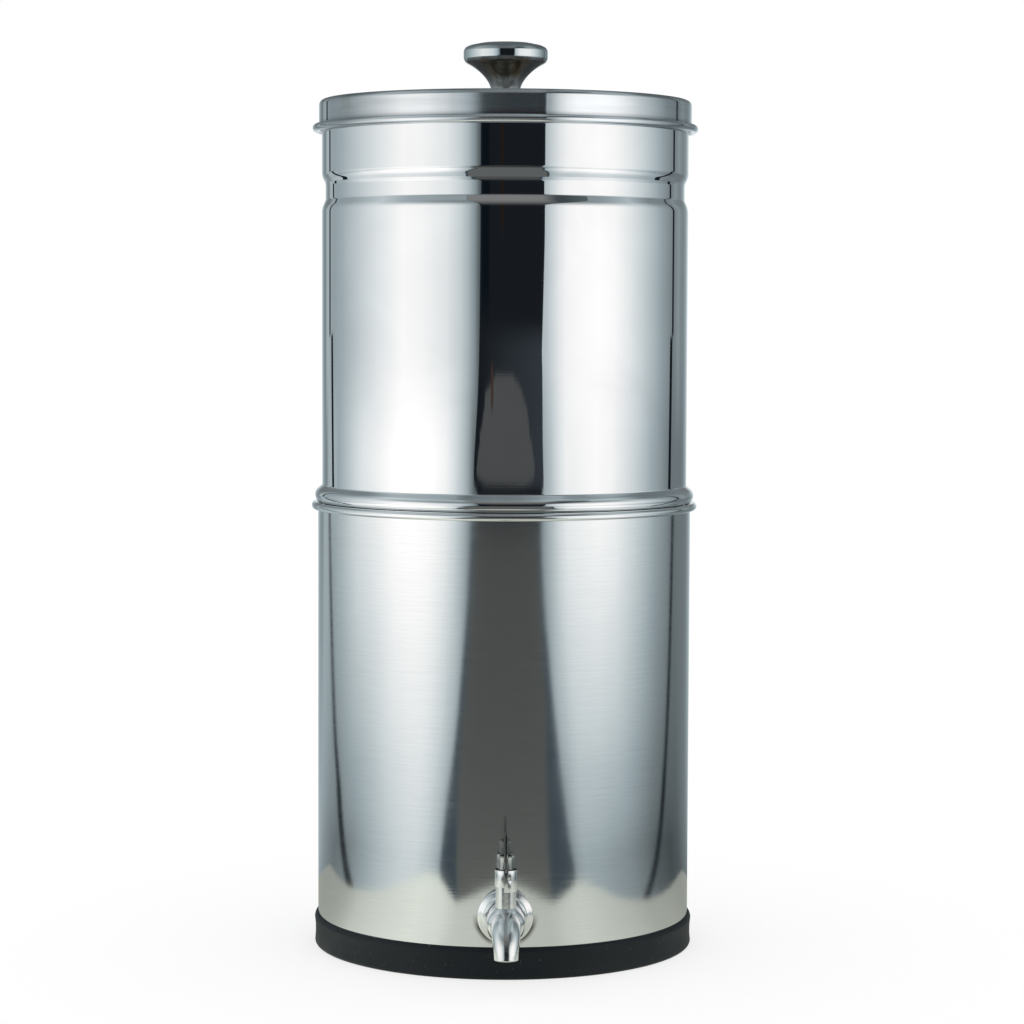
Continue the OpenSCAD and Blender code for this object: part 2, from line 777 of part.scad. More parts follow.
base_ring();
lower_chamber();
tap_body();
tap_outer_gasket();
tap_inner_gasket();
tap_washer();
tap_nut();
tap_gland();
tap_stem_seal();
tap_stem();
tap_plunger();
tap_spring();
tap_clevis();
tap_collar();
tap_lever();
tap_lever_pin();
upper_chamber();
candle_shell(-1);  // candle_shell_left
candle_shell(1);  // candle_shell_right
candle_core(-1);  // candle_core_left
candle_core(1);  // candle_core_right
candle_base(-1);  // candle_base_left
candle_base(1);  // candle_base_right
candle_washer(-1);  // candle_washer_left
candle_washer(1);  // candle_washer_right
candle_wing_nut(-1);  // candle_wing_nut_left
candle_wing_nut(1);  // candle_wing_nut_right
blank_plug(-1);  // blank_plug_front
blank_plug(1);  // blank_plug_back
blank_washer(-1);  // blank_washer_front
blank_washer(1);  // blank_washer_back
blank_nut(-1);  // blank_nut_front
blank_nut(1);  // blank_nut_back
lid();
lid_knob();
lid_washer();
lid_screw();
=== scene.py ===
"""Gravity water filter: two stacked steel chambers on a rubber ring, a lid with a knob and a lever tap."""

import math

import bmesh
import bpy
from mathutils import Matrix, Vector


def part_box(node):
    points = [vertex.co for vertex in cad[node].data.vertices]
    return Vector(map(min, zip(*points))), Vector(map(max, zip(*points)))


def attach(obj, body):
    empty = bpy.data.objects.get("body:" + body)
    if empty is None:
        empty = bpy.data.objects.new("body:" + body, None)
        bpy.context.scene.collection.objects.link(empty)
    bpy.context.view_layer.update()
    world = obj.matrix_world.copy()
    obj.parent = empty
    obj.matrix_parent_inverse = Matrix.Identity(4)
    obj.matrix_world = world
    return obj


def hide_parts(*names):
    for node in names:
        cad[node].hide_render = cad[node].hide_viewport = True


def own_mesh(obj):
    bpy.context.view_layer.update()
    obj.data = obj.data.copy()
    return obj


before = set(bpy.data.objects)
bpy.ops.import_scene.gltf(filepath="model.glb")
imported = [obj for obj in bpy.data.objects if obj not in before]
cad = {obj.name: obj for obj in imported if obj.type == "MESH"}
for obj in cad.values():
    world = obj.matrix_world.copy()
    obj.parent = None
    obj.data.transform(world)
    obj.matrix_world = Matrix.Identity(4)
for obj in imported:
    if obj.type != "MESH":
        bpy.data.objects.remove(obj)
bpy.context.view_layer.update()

# ---- Base ring ------------------------------------------------------------------------------
# A charcoal rubber ring, moulded in one piece and stretched over the lower chamber's bottom edge.
# Its foot turns in under the steel. The moulding leaves a faintly pebbled, dusty skin.

MM = 0.001
RING_R = 110.0
RING_H = 18.0
RING_BORE_R = 108.05
RING_LIP_R = 96.0
LOWER_FLOOR_Z = 5.0


def arc(centre, radius, start, end, step=6):
    """Points of an arc [r, z] about a centre, from one angle to another in degrees."""
    count = max(2, round(abs(end - start) / step))
    turns = [math.radians(start + (end - start) * i / count) for i in range(count + 1)]
    return [(centre[0] + radius * math.cos(t), centre[1] + radius * math.sin(t)) for t in turns]


def eased(points, closed=True, step=9):
    """An outline from corners (r, z, rounding): each corner with a rounding becomes a small arc."""
    outline = []
    count = len(points)
    for i, corner in enumerate(points):
        here, rounding = Vector(corner[:2]), corner[2] if len(corner) > 2 else 0
        if not rounding or (not closed and i in (0, count - 1)):
            outline.append(tuple(here))
            continue
        back = (Vector(points[i - 1][:2]) - here).normalized()
        on = (Vector(points[(i + 1) % count][:2]) - here).normalized()
        half = math.acos(max(-1, min(1, back.dot(on)))) / 2
        reach = rounding / math.tan(half)
        centre = here + (back + on).normalized() * rounding / math.sin(half)
        first, last = here + back * reach - centre, here + on * reach - centre
        a0, a1 = math.atan2(first.y, first.x), math.atan2(last.y, last.x)
        sweep = (a1 - a0 + math.pi) % (2 * math.pi) - math.pi
        outline += arc(centre, rounding, math.degrees(a0), math.degrees(a0 + sweep), step)
    return outline


def held(outline, closed=True, longest=6.0):
    """Adds points along the straight stretches, so that rounded corners keep their shading to themselves."""
    edge = 0.25
    pairs = list(zip(outline, outline[1:] + outline[:1] if closed else outline[1:]))
    full = []
    for a, b in pairs:
        a, b = Vector(a), Vector(b)
        length = (b - a).length
        full.append(tuple(a))
        if length > 4 * edge:
            inner = max(1, math.ceil((length - 2 * edge) / longest))
            marks = [edge + (length - 2 * edge) * i / inner for i in range(inner + 1)]
            full += [tuple(a.lerp(b, m / length)) for m in marks]
    return full if closed else full + [tuple(outline[-1])]


def new_piece(name, bm, body, materials, sharp=32):
    """Turns mesh code into a smooth-shaded piece that rides on a CAD body."""
    bmesh.ops.recalc_face_normals(bm, faces=bm.faces)
    mesh = bpy.data.meshes.new(name)
    bm.to_mesh(mesh)
    bm.free()
    mesh.shade_smooth()
    mesh.set_sharp_from_angle(angle=math.radians(sharp))
    piece = bpy.data.objects.new(name, mesh)
    bpy.context.scene.collection.objects.link(piece)
    for finish in materials:
        mesh.materials.append(finish)
    if body:
        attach(piece, body)
    return piece


def turned(outline, steps=288, place=None):
    """A closed outline [r, z] in millimetres, turned about the upright axis; place moves it afterwards."""
    bm = bmesh.new()
    rings = []
    for r, z in outline:
        if r < 1e-6:
            rings.append([bm.verts.new((0, 0, z * MM))] * steps)
            continue
        rings.append([
            bm.verts.new((r * MM * math.cos(t), r * MM * math.sin(t), z * MM))
            for t in (2 * math.pi * i / steps for i in range(steps))
        ])
    for low, high in zip(rings, rings[1:] + rings[:1]):
        for i in range(steps):
            j = (i + 1) % steps
            corners = list(dict.fromkeys([low[i], low[j], high[j], high[i]]))
            if len(corners) > 2:
                bm.faces.new(corners)
    if place:
        bmesh.ops.transform(bm, matrix=place, verts=bm.verts)
    return bm


def finish_nodes(name):
    """A new material, its node tree and its Principled shader."""
    made = bpy.data.materials.new(name)
    made.use_nodes = True
    return made, made.node_tree, made.node_tree.nodes["Principled BSDF"]


def fill(tree, node, inputs):
    """Sets or links inputs of a node, by name or number."""
    for key, value in inputs.items():
        if isinstance(value, bpy.types.NodeSocket):
            tree.links.new(value, node.inputs[key])
        else:
            node.inputs[key].default_value = value


def put(tree, kind, inputs=None, **settings):
    """Adds a node with its settings, and fills its inputs."""
    node = tree.nodes.new("ShaderNode" + kind)
    for key, value in settings.items():
        setattr(node, key, value)
    fill(tree, node, inputs or {})
    return node


def maths(tree, operation, *values):
    """One step of arithmetic on numbers and sockets."""
    return put(tree, "Math", dict(enumerate(values)), operation=operation).outputs[0]


def times(tree, first, *others):
    """A product of two or more factors."""
    for other in others:
        first = maths(tree, "MULTIPLY", first, other)
    return first


def spread(tree, value, low, high, to_low=0.0, to_high=1.0, smooth=False):
    """Takes the range low to high to the range to_low to to_high, and stops at its ends."""
    kind = "SMOOTHSTEP" if smooth else "LINEAR"
    inputs = {"Value": value, "From Min": low, "From Max": high, "To Min": to_low, "To Max": to_high}
    return put(tree, "MapRange", inputs, interpolation_type=kind).outputs["Result"]


def blended(tree, amount, first, second):
    """A colour between two, by a mask."""
    ends = [c if isinstance(c, bpy.types.NodeSocket) else (*c, 1) for c in (first, second)]
    return put(tree, "Mix", {0: amount, 6: ends[0], 7: ends[1]}, data_type="RGBA").outputs[2]


def own_place(tree):
    """A point's own place on the piece, in metres."""
    return put(tree, "TexCoord").outputs["Object"]


def noise(tree, where, scale, detail=2.0, **more):
    """Soft noise from 0 to 1."""
    return put(tree, "TexNoise", {"Vector": where, "Scale": scale, "Detail": detail, **more}).outputs["Fac"]


def relief(tree, height, depth, **more):
    """A bump whose relief is depth metres high."""
    return put(tree, "Bump", {"Height": height, "Distance": depth, "Strength": 1.0, **more}).outputs["Normal"]


def effect(name, inputs, outputs):
    """An empty node group with number inputs and named outputs."""
    group = bpy.data.node_groups.new(name, "ShaderNodeTree")
    for label, value in inputs.items():
        socket = group.interface.new_socket(label, in_out="INPUT", socket_type="NodeSocketFloat")
        socket.default_value = value
    for label in outputs:
        group.interface.new_socket(label, in_out="OUTPUT", socket_type="NodeSocketFloat")
    start, end = group.nodes.new("NodeGroupInput"), group.nodes.new("NodeGroupOutput")
    return group, start, end


def use(tree, group, **inputs):
    """The outputs of a node group that is placed with its own values."""
    return put(tree, "Group", inputs, node_tree=group).outputs


def pebbled_skin():
    """Moulded or dusted surface: a fine pebble grain, soft cloudy patches and scattered light specks."""
    group, start, end = effect("pebbled_skin", {"Grain": 0.0006, "Specks": 0.004},
                               ("Grain", "Cloud", "Specks"))
    where = own_place(group)
    grain_scale = maths(group, "DIVIDE", 1.0, start.outputs["Grain"])
    speck_scale = maths(group, "DIVIDE", 1.0, start.outputs["Specks"])
    dots = put(group, "TexVoronoi", {"Vector": where, "Scale": speck_scale}).outputs
    size = put(group, "SeparateColor", {"Color": dots["Color"]}).outputs[0]
    fill(group, end, {
        "Grain": noise(group, where, grain_scale, 3.0),
        "Cloud": spread(group, noise(group, where, 38.0, 4.0, Roughness=0.6), 0.35, 0.7),
        "Specks": maths(group, "LESS_THAN", dots["Distance"], spread(group, size, 0.45, 1.0, 0.0, 0.16)),
    })
    return group


skin = pebbled_skin()


def rubber(name, colour, dusty, roughness, specks):
    """Moulded rubber, bloomed in soft patches and with a little dust on it."""
    made, tree, shader = finish_nodes(name)
    marks = use(tree, skin, Grain=0.0009, Specks=specks)
    patched = blended(tree, marks["Cloud"], colour, dusty)
    fill(tree, shader, {
        "Base Color": blended(tree, times(tree, marks["Specks"], 0.55), patched, (0.16, 0.165, 0.17)),
        "Roughness": spread(tree, marks["Cloud"], 0, 1, roughness - 0.06, roughness + 0.08),
        "Normal": relief(tree, marks["Grain"], 0.00006),
        "Specular IOR Level": 0.3,
    })
    return made


black_rubber = rubber("black_rubber", (0.0022, 0.0050, 0.0085), (0.0055, 0.0088, 0.0128), 0.5, 0.0022)

ring_outline = eased([
    (RING_LIP_R, 0.0, 0.5), (RING_R, 0.0, 1.8), (RING_R - 0.5, 5.5, 14), (RING_R - 0.5, RING_H - 7.2, 14),
    (RING_R, RING_H - 2.4, 0.9), (RING_R - 0.4, RING_H - 1.1, 0.9), (RING_R - 1.1, RING_H, 0.5),
    (RING_BORE_R, RING_H, 0.2), (RING_BORE_R, LOWER_FLOOR_Z), (RING_LIP_R, LOWER_FLOOR_Z, 0.5),
])
base_ring = new_piece("rubber_ring", turned(held(ring_outline, longest=3)), "base",
                      [black_rubber])
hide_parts("base_ring")

# ---- Lower chamber --------------------------------------------------------------------------
# A vessel drawn from 0.8 mm stainless sheet, its top edge rolled outwards. The wall is brushed round
# and round with a fine belt, which blurs reflections up and down and leaves them sharp from side to side.

SHEET = 0.8
LOWER_R = 108.0
CURL_R = 2.25
FLOOR_CORNER = 6.0
LOWER_RIM_Z = 258.2
TAP_Z = 36.0
TAP_HOLE_R = 8.2


def beside(path, distance):
    """The path moved sideways to its left by a distance."""
    moved = []
    for i, point in enumerate(path):
        here = Vector(point)
        ahead = (Vector(path[i + 1]) - here) if i + 1 < len(path) else (here - Vector(path[i - 1]))
        behind = (here - Vector(path[i - 1])) if i else ahead
        a = Vector((-behind.y, behind.x)).normalized()
        b = Vector((-ahead.y, ahead.x)).normalized()
        middle = (a + b).normalized()
        moved.append(tuple(here + middle * distance / middle.dot(a)))
    return moved


def drawn(path):
    """A sheet metal outline: the outside path, and the inside a sheet's thickness to its left."""
    path = held(path, closed=False)
    return path + beside(path, SHEET)[::-1]


def rounded_floor(radius, z):
    """The outside path of a vessel's floor, from its middle to the foot of the wall."""
    return [(0.0, z)] + arc((radius - FLOOR_CORNER, z + FLOOR_CORNER), FLOOR_CORNER, -90, 0)


def tube_along(points, radii, sides=48, level_end=0):
    """A closed round tube through points in one upright plane, in metres. Its last rings can lie level."""
    bm = bmesh.new()
    rings = []
    up, down = Vector((1, 0, 0)), Vector((0, 0, -1))
    for i, centre in enumerate(points):
        way = (points[min(i + 1, len(points) - 1)] - points[max(i - 1, 0)]).normalized()
        if level_end:
            levelled = 1 - (len(points) - 4 - i) / level_end
            way = way.lerp(down, max(0.0, min(1.0, levelled)))
        side = way.cross(up).normalized()
        rings.append([
            bm.verts.new(centre + radii[i] * (math.cos(t) * up + math.sin(t) * side))
            for t in (2 * math.pi * k / sides for k in range(sides))
        ])
    for low, high in zip(rings, rings[1:]):
        for i in range(sides):
            j = (i + 1) % sides
            bm.faces.new((low[i], low[j], high[j], high[i]))
    bm.faces.new(rings[0])
    bm.faces.new(rings[-1])
    bmesh.ops.recalc_face_normals(bm, faces=bm.faces)
    return bm


def combined(bm, others, operation):
    """bm joined to, or cut by, each of the other closed meshes in turn."""
    def stand(name, source):
        """The mesh as an object of its own, which modifiers need."""
        bmesh.ops.recalc_face_normals(source, faces=source.faces)
        mesh = bpy.data.meshes.new(name)
        source.to_mesh(mesh)
        source.free()
        made = bpy.data.objects.new(name, mesh)
        bpy.context.scene.collection.objects.link(made)
        return made

    work = stand("work", bm)
    tools = [stand("tool", other) for other in others]
    for tool in tools:
        cut = work.modifiers.new("cut", "BOOLEAN")
        cut.operation, cut.object, cut.solver = operation, tool, "EXACT"
    evaluated = work.evaluated_get(bpy.context.evaluated_depsgraph_get())
    result = bmesh.new()
    result.from_mesh(evaluated.to_mesh())
    evaluated.to_mesh_clear()
    for made in [work, *tools]:
        mesh = made.data
        bpy.data.objects.remove(made)
        bpy.data.meshes.remove(mesh)
    return result


def rod(start, end, radius, steps=96):
    """A round rod between two points in millimetres, as a cutter or a part of a casting."""
    a, b = Vector(start) * MM, Vector(end) * MM
    outline = [(0, 0), (radius, 0), (radius, (b - a).length / MM), (0, (b - a).length / MM)]
    turn = (b - a).to_track_quat("Z", "X").to_matrix().to_4x4()
    return turned(outline, steps, Matrix.Translation(a) @ turn)


def scaled(tree, where, factors):
    """A place or a colour with each of its three parts scaled by itself."""
    return put(tree, "VectorMath", {0: where, 1: factors}, operation="MULTIPLY").outputs[0]


def position(tree):
    """A point's own x, y and z."""
    return put(tree, "SeparateXYZ", {0: own_place(tree)}).outputs


def plus(tree, first, *others):
    """A sum of two or more terms."""
    for other in others:
        first = maths(tree, "ADD", first, other)
    return first


def minus(tree, first, second):
    """A difference."""
    return maths(tree, "SUBTRACT", first, second)


def hypotenuse(tree, a, b):
    """The length of the long side over two sides at right angles."""
    return maths(tree, "SQRT", plus(tree, maths(tree, "POWER", a, 2.0), maths(tree, "POWER", b, 2.0)))


def steel_marks():
    """What use and working leave on stainless steel: streaks round the piece, cloudy smears and fine pits."""
    group, start, end = effect("steel_marks", {"Length": 0.03, "Height": 0.0006},
                               ("Streaks", "Bands", "Smears", "Pits"))
    where = own_place(group)
    along = maths(group, "DIVIDE", 1.0, start.outputs["Length"])
    upward = maths(group, "DIVIDE", 1.0, start.outputs["Height"])
    fine = put(group, "CombineXYZ", {0: along, 1: along, 2: upward}).outputs[0]
    pits = put(group, "TexVoronoi", {"Vector": where, "Scale": 260.0}).outputs
    pit_size = put(group, "SeparateColor", {"Color": pits["Color"]}).outputs[0]
    fill(group, end, {
        "Streaks": noise(group, scaled(group, where, fine), 1.0, 5.0, Roughness=0.65),
        "Bands": noise(group, scaled(group, where, (6.0, 6.0, 420.0)), 1.0, 3.0),
        "Smears": spread(group, noise(group, where, 16.0, 5.0, Distortion=0.6), 0.4, 0.72),
        "Pits": maths(group, "LESS_THAN", pits["Distance"], spread(group, pit_size, 0.9, 1.0, 0, 0.035)),
    })
    return group


marks_of_use = steel_marks()


def satin_steel_finish():
    """Belt-brushed steel. A dark brown crescent is painted round the lower half of the tap's flange: painted
    shadow and painted reflection of the flange and its gasket.
    """
    made, tree, shader = finish_nodes("satin_steel")
    marks = use(tree, marks_of_use, Length=0.022, Height=0.00045)
    streaks = spread(tree, marks["Streaks"], 0.25, 0.75)
    tone = blended(tree, streaks, (0.735, 0.738, 0.738), (0.815, 0.815, 0.81))
    tone = blended(tree, times(tree, marks["Smears"], 0.08), tone, (0.64, 0.61, 0.57))
    x, y, z = position(tree)
    rise = minus(tree, z, TAP_Z * MM)
    # Painted shade: a dark brown crescent in front, round the lower half of the flange, stands in for the
    # flange's shadow and its dark reflection in the wall.
    beside_flange = spread(tree, hypotenuse(tree, x, rise), 0.0158, 0.0192, 0.97, 0.0, smooth=True)
    lower_half = spread(tree, rise, 0.001, -0.007)
    off_middle = spread(tree, maths(tree, "ABSOLUTE", x), 0.004, 0.010, 0.3, 1.0)
    in_front = maths(tree, "LESS_THAN", y, 0.0)
    flange_painted_shade = times(tree, beside_flange, lower_half, off_middle, in_front)
    rough = spread(tree, marks["Streaks"], 0.2, 0.8, 0.06, 0.12)
    fill(tree, shader, {
        "Base Color": blended(tree, flange_painted_shade, tone, (0.085, 0.075, 0.055)),
        "Roughness": plus(tree, rough, times(tree, marks["Smears"], 0.03)),
        "Normal": relief(tree, plus(tree, marks["Streaks"], marks["Bands"]), 0.000004),
        "Tangent": put(tree, "Tangent", direction_type="RADIAL", axis="Z").outputs[0],
        "Metallic": 1.0,
        "Anisotropic": 0.6,
    })
    return made


satin_steel = satin_steel_finish()

lower_path = rounded_floor(LOWER_R, LOWER_FLOOR_Z)
lower_path += arc((LOWER_R + CURL_R - SHEET, LOWER_RIM_Z - CURL_R), CURL_R - SHEET, 180, -110, 8)
tap_hole = rod((0, -80, TAP_Z), (0, -125, TAP_Z), TAP_HOLE_R)
lower_mesh = combined(turned(drawn(lower_path)), [tap_hole], "DIFFERENCE")
lower_chamber = new_piece("lower_vessel", lower_mesh, "base", [satin_steel])
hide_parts("lower_chamber")

# ---- Tap: seals and nut ---------------------------------------------------------------------
# Rubber gaskets stand on both sides of the vessel's wall, a black one outside and a grey one inside.
# A steel washer and a hex nut on the shank draw the flange up against them.

grey_rubber = rubber("grey_rubber", (0.045, 0.047, 0.050), (0.060, 0.062, 0.065), 0.6, 0.004)


def plain_steel_finish():
    """Turned or pressed steel as it left the tool."""
    made, tree, shader = finish_nodes("plain_steel")
    marks = use(tree, marks_of_use, Length=0.004, Height=0.0004)
    fill(tree, shader, {
        "Base Color": blended(tree, marks["Streaks"], (0.5676, 0.5719, 0.5762), (0.66, 0.665, 0.67)),
        "Roughness": spread(tree, marks["Smears"], 0, 1, 0.23, 0.35),
        "Normal": relief(tree, marks["Streaks"], 0.000004),
        "Metallic": 1.0,
    })
    return made


plain_steel = plain_steel_finish()


def dress(names, finish):
    """Gives CAD nodes whose shape is right a better material."""
    for name in names:
        mesh = cad[name].data
        if not mesh.materials:
            mesh.materials.append(finish)
        for i in range(len(mesh.materials)):
            mesh.materials[i] = finish


def softened(node, body, finish, width):
    """A CAD node's own shape as a new piece with its sharp edges eased, as tumbling or polishing does."""
    bm = bmesh.new()
    bm.from_mesh(cad[node].data)
    bmesh.ops.remove_doubles(bm, verts=bm.verts, dist=0.000002)
    bmesh.ops.dissolve_limit(bm, angle_limit=math.radians(0.6), verts=bm.verts, edges=bm.edges)
    hard = [e for e in bm.edges if len(e.link_faces) == 2 and e.calc_face_angle(0) > math.radians(35)]
    bmesh.ops.bevel(bm, geom=hard, offset=width * MM, segments=2, profile=0.6, affect="EDGES",
                    clamp_overlap=True)
    piece = new_piece("eased_" + node, bm, body, [finish])
    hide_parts(node)
    return piece


dress(["tap_outer_gasket"], black_rubber)
dress(["tap_inner_gasket"], grey_rubber)
dress(["tap_washer"], plain_steel)
softened("tap_nut", "base", plain_steel, 0.4)

# ---- Tap: body ------------------------------------------------------------------------------
# A stainless casting, ground and polished: shank, flange with a stepped hub, valve ball, upright barrel
# and a spout that narrows to the outlet. The polish leaves soft edges and a slightly wavy shine.


def cast_steel_finish(name, light, dull, mirrored):
    """Ground and polished casting. In other steel's reflections its colour is painted darker, keeping only a
    share of its tone: painted shade in the reflections.
    """
    made, tree, shader = finish_nodes(name)
    marks = use(tree, marks_of_use, Length=0.006, Height=0.0012)
    tone = blended(tree, marks["Smears"], light, dull)
    tone = blended(tree, marks["Pits"], tone, tuple(0.42 * c for c in light))
    # Painted shade: for glossy rays the colour is pulled toward black, so the casting shows darker in the
    # vessel's reflections than on its own.
    painted_darker_in_reflections = times(tree, put(tree, "LightPath").outputs["Is Glossy Ray"], 1.0 - mirrored)
    ripple = noise(tree, own_place(tree), 190.0)
    fill(tree, shader, {
        "Base Color": blended(tree, painted_darker_in_reflections, tone, (0.02, 0.02, 0.018)),
        "Roughness": spread(tree, marks["Streaks"], 0.3, 0.7, 0.13, 0.2),
        "Normal": relief(tree, plus(tree, ripple, times(tree, marks["Streaks"], 0.12)), 0.00006),
        "Metallic": 1.0,
    })
    return made


tap_steel = cast_steel_finish("tap_steel", (0.84, 0.84, 0.835), (0.74, 0.735, 0.72), 0.9)

SHANK_R = 7.85
THREAD_ROOT_R = 7.2
THREAD_PITCH = 1.5
FLANGE_Y = 110.2
FLANGE_R = 15.4
HUB_R = 9.2
BARREL_Y = 132.0
BARREL_R = 5.62
BARREL_TOP_Z = 58.0
BARREL_BORE_R = 4.6
BALL_R = 10.9
SPOUT_R = 8.9
SPOUT_STEPS = 40
BEND_Y = 144.6
OUTLET_R = 6.8
OUTLET_Y = 152.0
OUTLET_Z = 20.8
SHANK_BORE_R = 3.5
SEAT_Z = 36.0
SEAT_BORE_R = 2.2
WATER_Z = 31.0
WATER_R = 2.4
WATER_STEPS = 24
OUTLET_BORE_R = 5.0

shank_end = -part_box("tap_body")[1].y / MM
to_front = Matrix.Translation((0, 0, TAP_Z * MM)) @ Matrix.Rotation(math.radians(90), 4, "X")

shank_outline = [(0, shank_end), (6.9, shank_end), (THREAD_ROOT_R, shank_end + 0.6)]
at = shank_end + 1.2
while at < FLANGE_Y - 4:
    shank_outline += [(THREAD_ROOT_R, at), (SHANK_R, at + 0.6)]
    at += THREAD_PITCH
shank_outline += [(SHANK_R, FLANGE_Y - 1.0), (SHANK_R, FLANGE_Y)]
flange_outline = eased([
    (SHANK_R, FLANGE_Y), (FLANGE_R - 0.1, FLANGE_Y, 0.4), (FLANGE_R, FLANGE_Y + 1.4, 0.8),
    (FLANGE_R - 0.8, FLANGE_Y + 2.0, 1.2), (FLANGE_R - 3.0, FLANGE_Y + 3.0, 0.7),
    (FLANGE_R - 3.5, FLANGE_Y + 3.6, 0.5), (FLANGE_R - 3.8, FLANGE_Y + 4.9, 0.6),
    (HUB_R + 1.0, FLANGE_Y + 5.3, 0.6), (HUB_R, FLANGE_Y + 5.4, 0.5), (HUB_R, BARREL_Y, 0), (0, BARREL_Y, 0),
], closed=False)
body_mesh = turned(held(shank_outline + flange_outline[1:], closed=False, longest=3), 144, to_front)


def along_bezier(p, count):
    """Points in metres along a curve pulled by four corners (forward, up) in millimetres."""
    points = []
    for i in range(count + 1):
        t = i / count
        pulls = ((1 - t) ** 3, 3 * (1 - t) ** 2 * t, 3 * (1 - t) * t * t, t ** 3)
        forward, height = (sum(pull * corner[k] for pull, corner in zip(pulls, p)) for k in (0, 1))
        points.append(Vector((0, -forward * MM, height * MM)))
    return points


def tapered(first, last, count):
    """Radii in metres along a tube that goes evenly from a first to a last one, in millimetres."""
    return [(first + (last - first) * i / count) * MM for i in range(count + 1)]


spout_line = [(BARREL_Y, TAP_Z), (BEND_Y, TAP_Z), (OUTLET_Y - 2.2, OUTLET_Z + 11.25), (OUTLET_Y, OUTLET_Z)]
spout_points = along_bezier(spout_line, SPOUT_STEPS)
spout_radii = tapered(SPOUT_R, OUTLET_R, SPOUT_STEPS)
tip = spout_points[-1]
spout_points[-1] = tip + Vector((0, 0, 0.35 * MM))
spout_points += [tip + Vector((0, 0, 0.1 * MM)), tip]
spout_radii += [(OUTLET_R - 0.1) * MM, (OUTLET_R - 0.35) * MM]
spout_mesh = tube_along(spout_points, spout_radii, 96, level_end=14)

on_barrel = Matrix.Translation((0, -BARREL_Y * MM, 0))
ball_outline = [(0, TAP_Z - BALL_R)] + arc((0, TAP_Z), BALL_R, -85, 85, 5) + [(0, TAP_Z + BALL_R)]
ball_mesh = turned(ball_outline, 96, on_barrel)
barrel_outline = eased([
    (0, TAP_Z, 0), (BARREL_R, TAP_Z, 0), (BARREL_R, BARREL_TOP_Z, 0.25), (0, BARREL_TOP_Z, 0),
], closed=False)
barrel_mesh = turned(held(barrel_outline, closed=False, longest=3), 96, on_barrel)

water_line = [(BARREL_Y, WATER_Z), (BEND_Y + 1.4, WATER_Z), (OUTLET_Y, WATER_Z + 2), (OUTLET_Y, OUTLET_Z - 1)]
water_points = along_bezier(water_line, WATER_STEPS)
water_radii = tapered(WATER_R, OUTLET_BORE_R, WATER_STEPS)
body_mesh = combined(body_mesh, [ball_mesh, barrel_mesh, spout_mesh], "UNION")
body_mesh = combined(body_mesh, [
    rod((0, 1 - shank_end, TAP_Z), (0, 3.6 - BARREL_Y, TAP_Z), SHANK_BORE_R),
    rod((0, -BARREL_Y, SEAT_Z - 1), (0, -BARREL_Y, BARREL_TOP_Z + 2), BARREL_BORE_R),
    rod((0, -BARREL_Y, WATER_Z - 0.5), (0, -BARREL_Y, SEAT_Z), SEAT_BORE_R, 48),
    tube_along(water_points, water_radii),
    rod((0, -OUTLET_Y, OUTLET_Z - 1), (0, -OUTLET_Y, OUTLET_Z + 3), OUTLET_BORE_R + 0.2),
], "DIFFERENCE")
tap_body = new_piece("tap_casting", body_mesh, "base", [tap_steel], 38)
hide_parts("tap_body")

# ---- Tap: head ------------------------------------------------------------------------------
# The bush in the barrel guides the stem, and the thin collar clipped round it turns with the lever.
# The fork at the stem's top holds the lever, whose curved heel rides on the notches of the collar.

# The fork and the lever are darker copies of the casting's steel: painted shade, standing in for the dark
# reflections these small parts show.
fork_steel_painted_dark = cast_steel_finish("fork_steel_painted_dark", (0.50, 0.505, 0.465), (0.36, 0.36, 0.32), 0.5)
lever_steel_painted_dark = cast_steel_finish("lever_steel_painted_dark", (0.27, 0.27, 0.25), (0.2, 0.2, 0.18), 0.5)
softened("tap_gland", "base", tap_steel, 0.2)
softened("tap_collar", "tap_head", tap_steel, 0.1)
softened("tap_clevis", "stem", fork_steel_painted_dark, 0.2)
softened("tap_lever", "lever", lever_steel_painted_dark, 0.2)
dress(["tap_lever_pin"], fork_steel_painted_dark)
dress(["tap_stem"], plain_steel)

# The coil spring stands between the stem's seat and the gland.
bm = bmesh.new()
bm.from_mesh(cad["tap_spring"].data)
coil_spring = new_piece("coil_spring", bm, "stem", [plain_steel])
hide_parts("tap_spring")
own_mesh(coil_spring)
dress(["tap_stem_seal", "tap_plunger"], grey_rubber)

# ---- Upper chamber --------------------------------------------------------------------------
# Drawn from the same sheet and buffed to a mirror. A rolled bead near its foot rests on the lower
# chamber's rim, and a groove is pressed in below the lid. Four holes in its floor take candles or plugs.

UPPER_R = 105.7
UPPER_FLOOR_Z = 236.5
BEAD_Z = 258.5
GROOVE_Z = 426.8
GROOVE_DEPTH = 2.1
UPPER_RIM_Z = 487.9
CANDLE_REACH = 50.0
STEM_HOLE_R = 6.3


def mirror_steel_finish():
    """Buffed sheet: nearly a mirror, gently uneven as drawn metal is, with fine buffing lines and smears."""
    made, tree, shader = finish_nodes("mirror_steel")
    marks = use(tree, marks_of_use, Length=0.03, Height=0.0005)
    clouded = blended(tree, marks["Smears"], (0.79, 0.79, 0.79), (0.7347, 0.7347, 0.7347))
    swell = noise(tree, scaled(tree, own_place(tree), (9.0, 9.0, 5.0)), 1.0, 1.0)
    fine = relief(tree, marks["Streaks"], 0.0000006)
    fill(tree, shader, {
        "Base Color": blended(tree, marks["Pits"], clouded, (0.5, 0.5, 0.5)),
        "Roughness": spread(tree, marks["Smears"], 0, 1, 0.02, 0.035),
        "Normal": relief(tree, swell, 0.00012, Normal=fine),
        "Metallic": 1.0,
    })
    return made


mirror_steel = mirror_steel_finish()

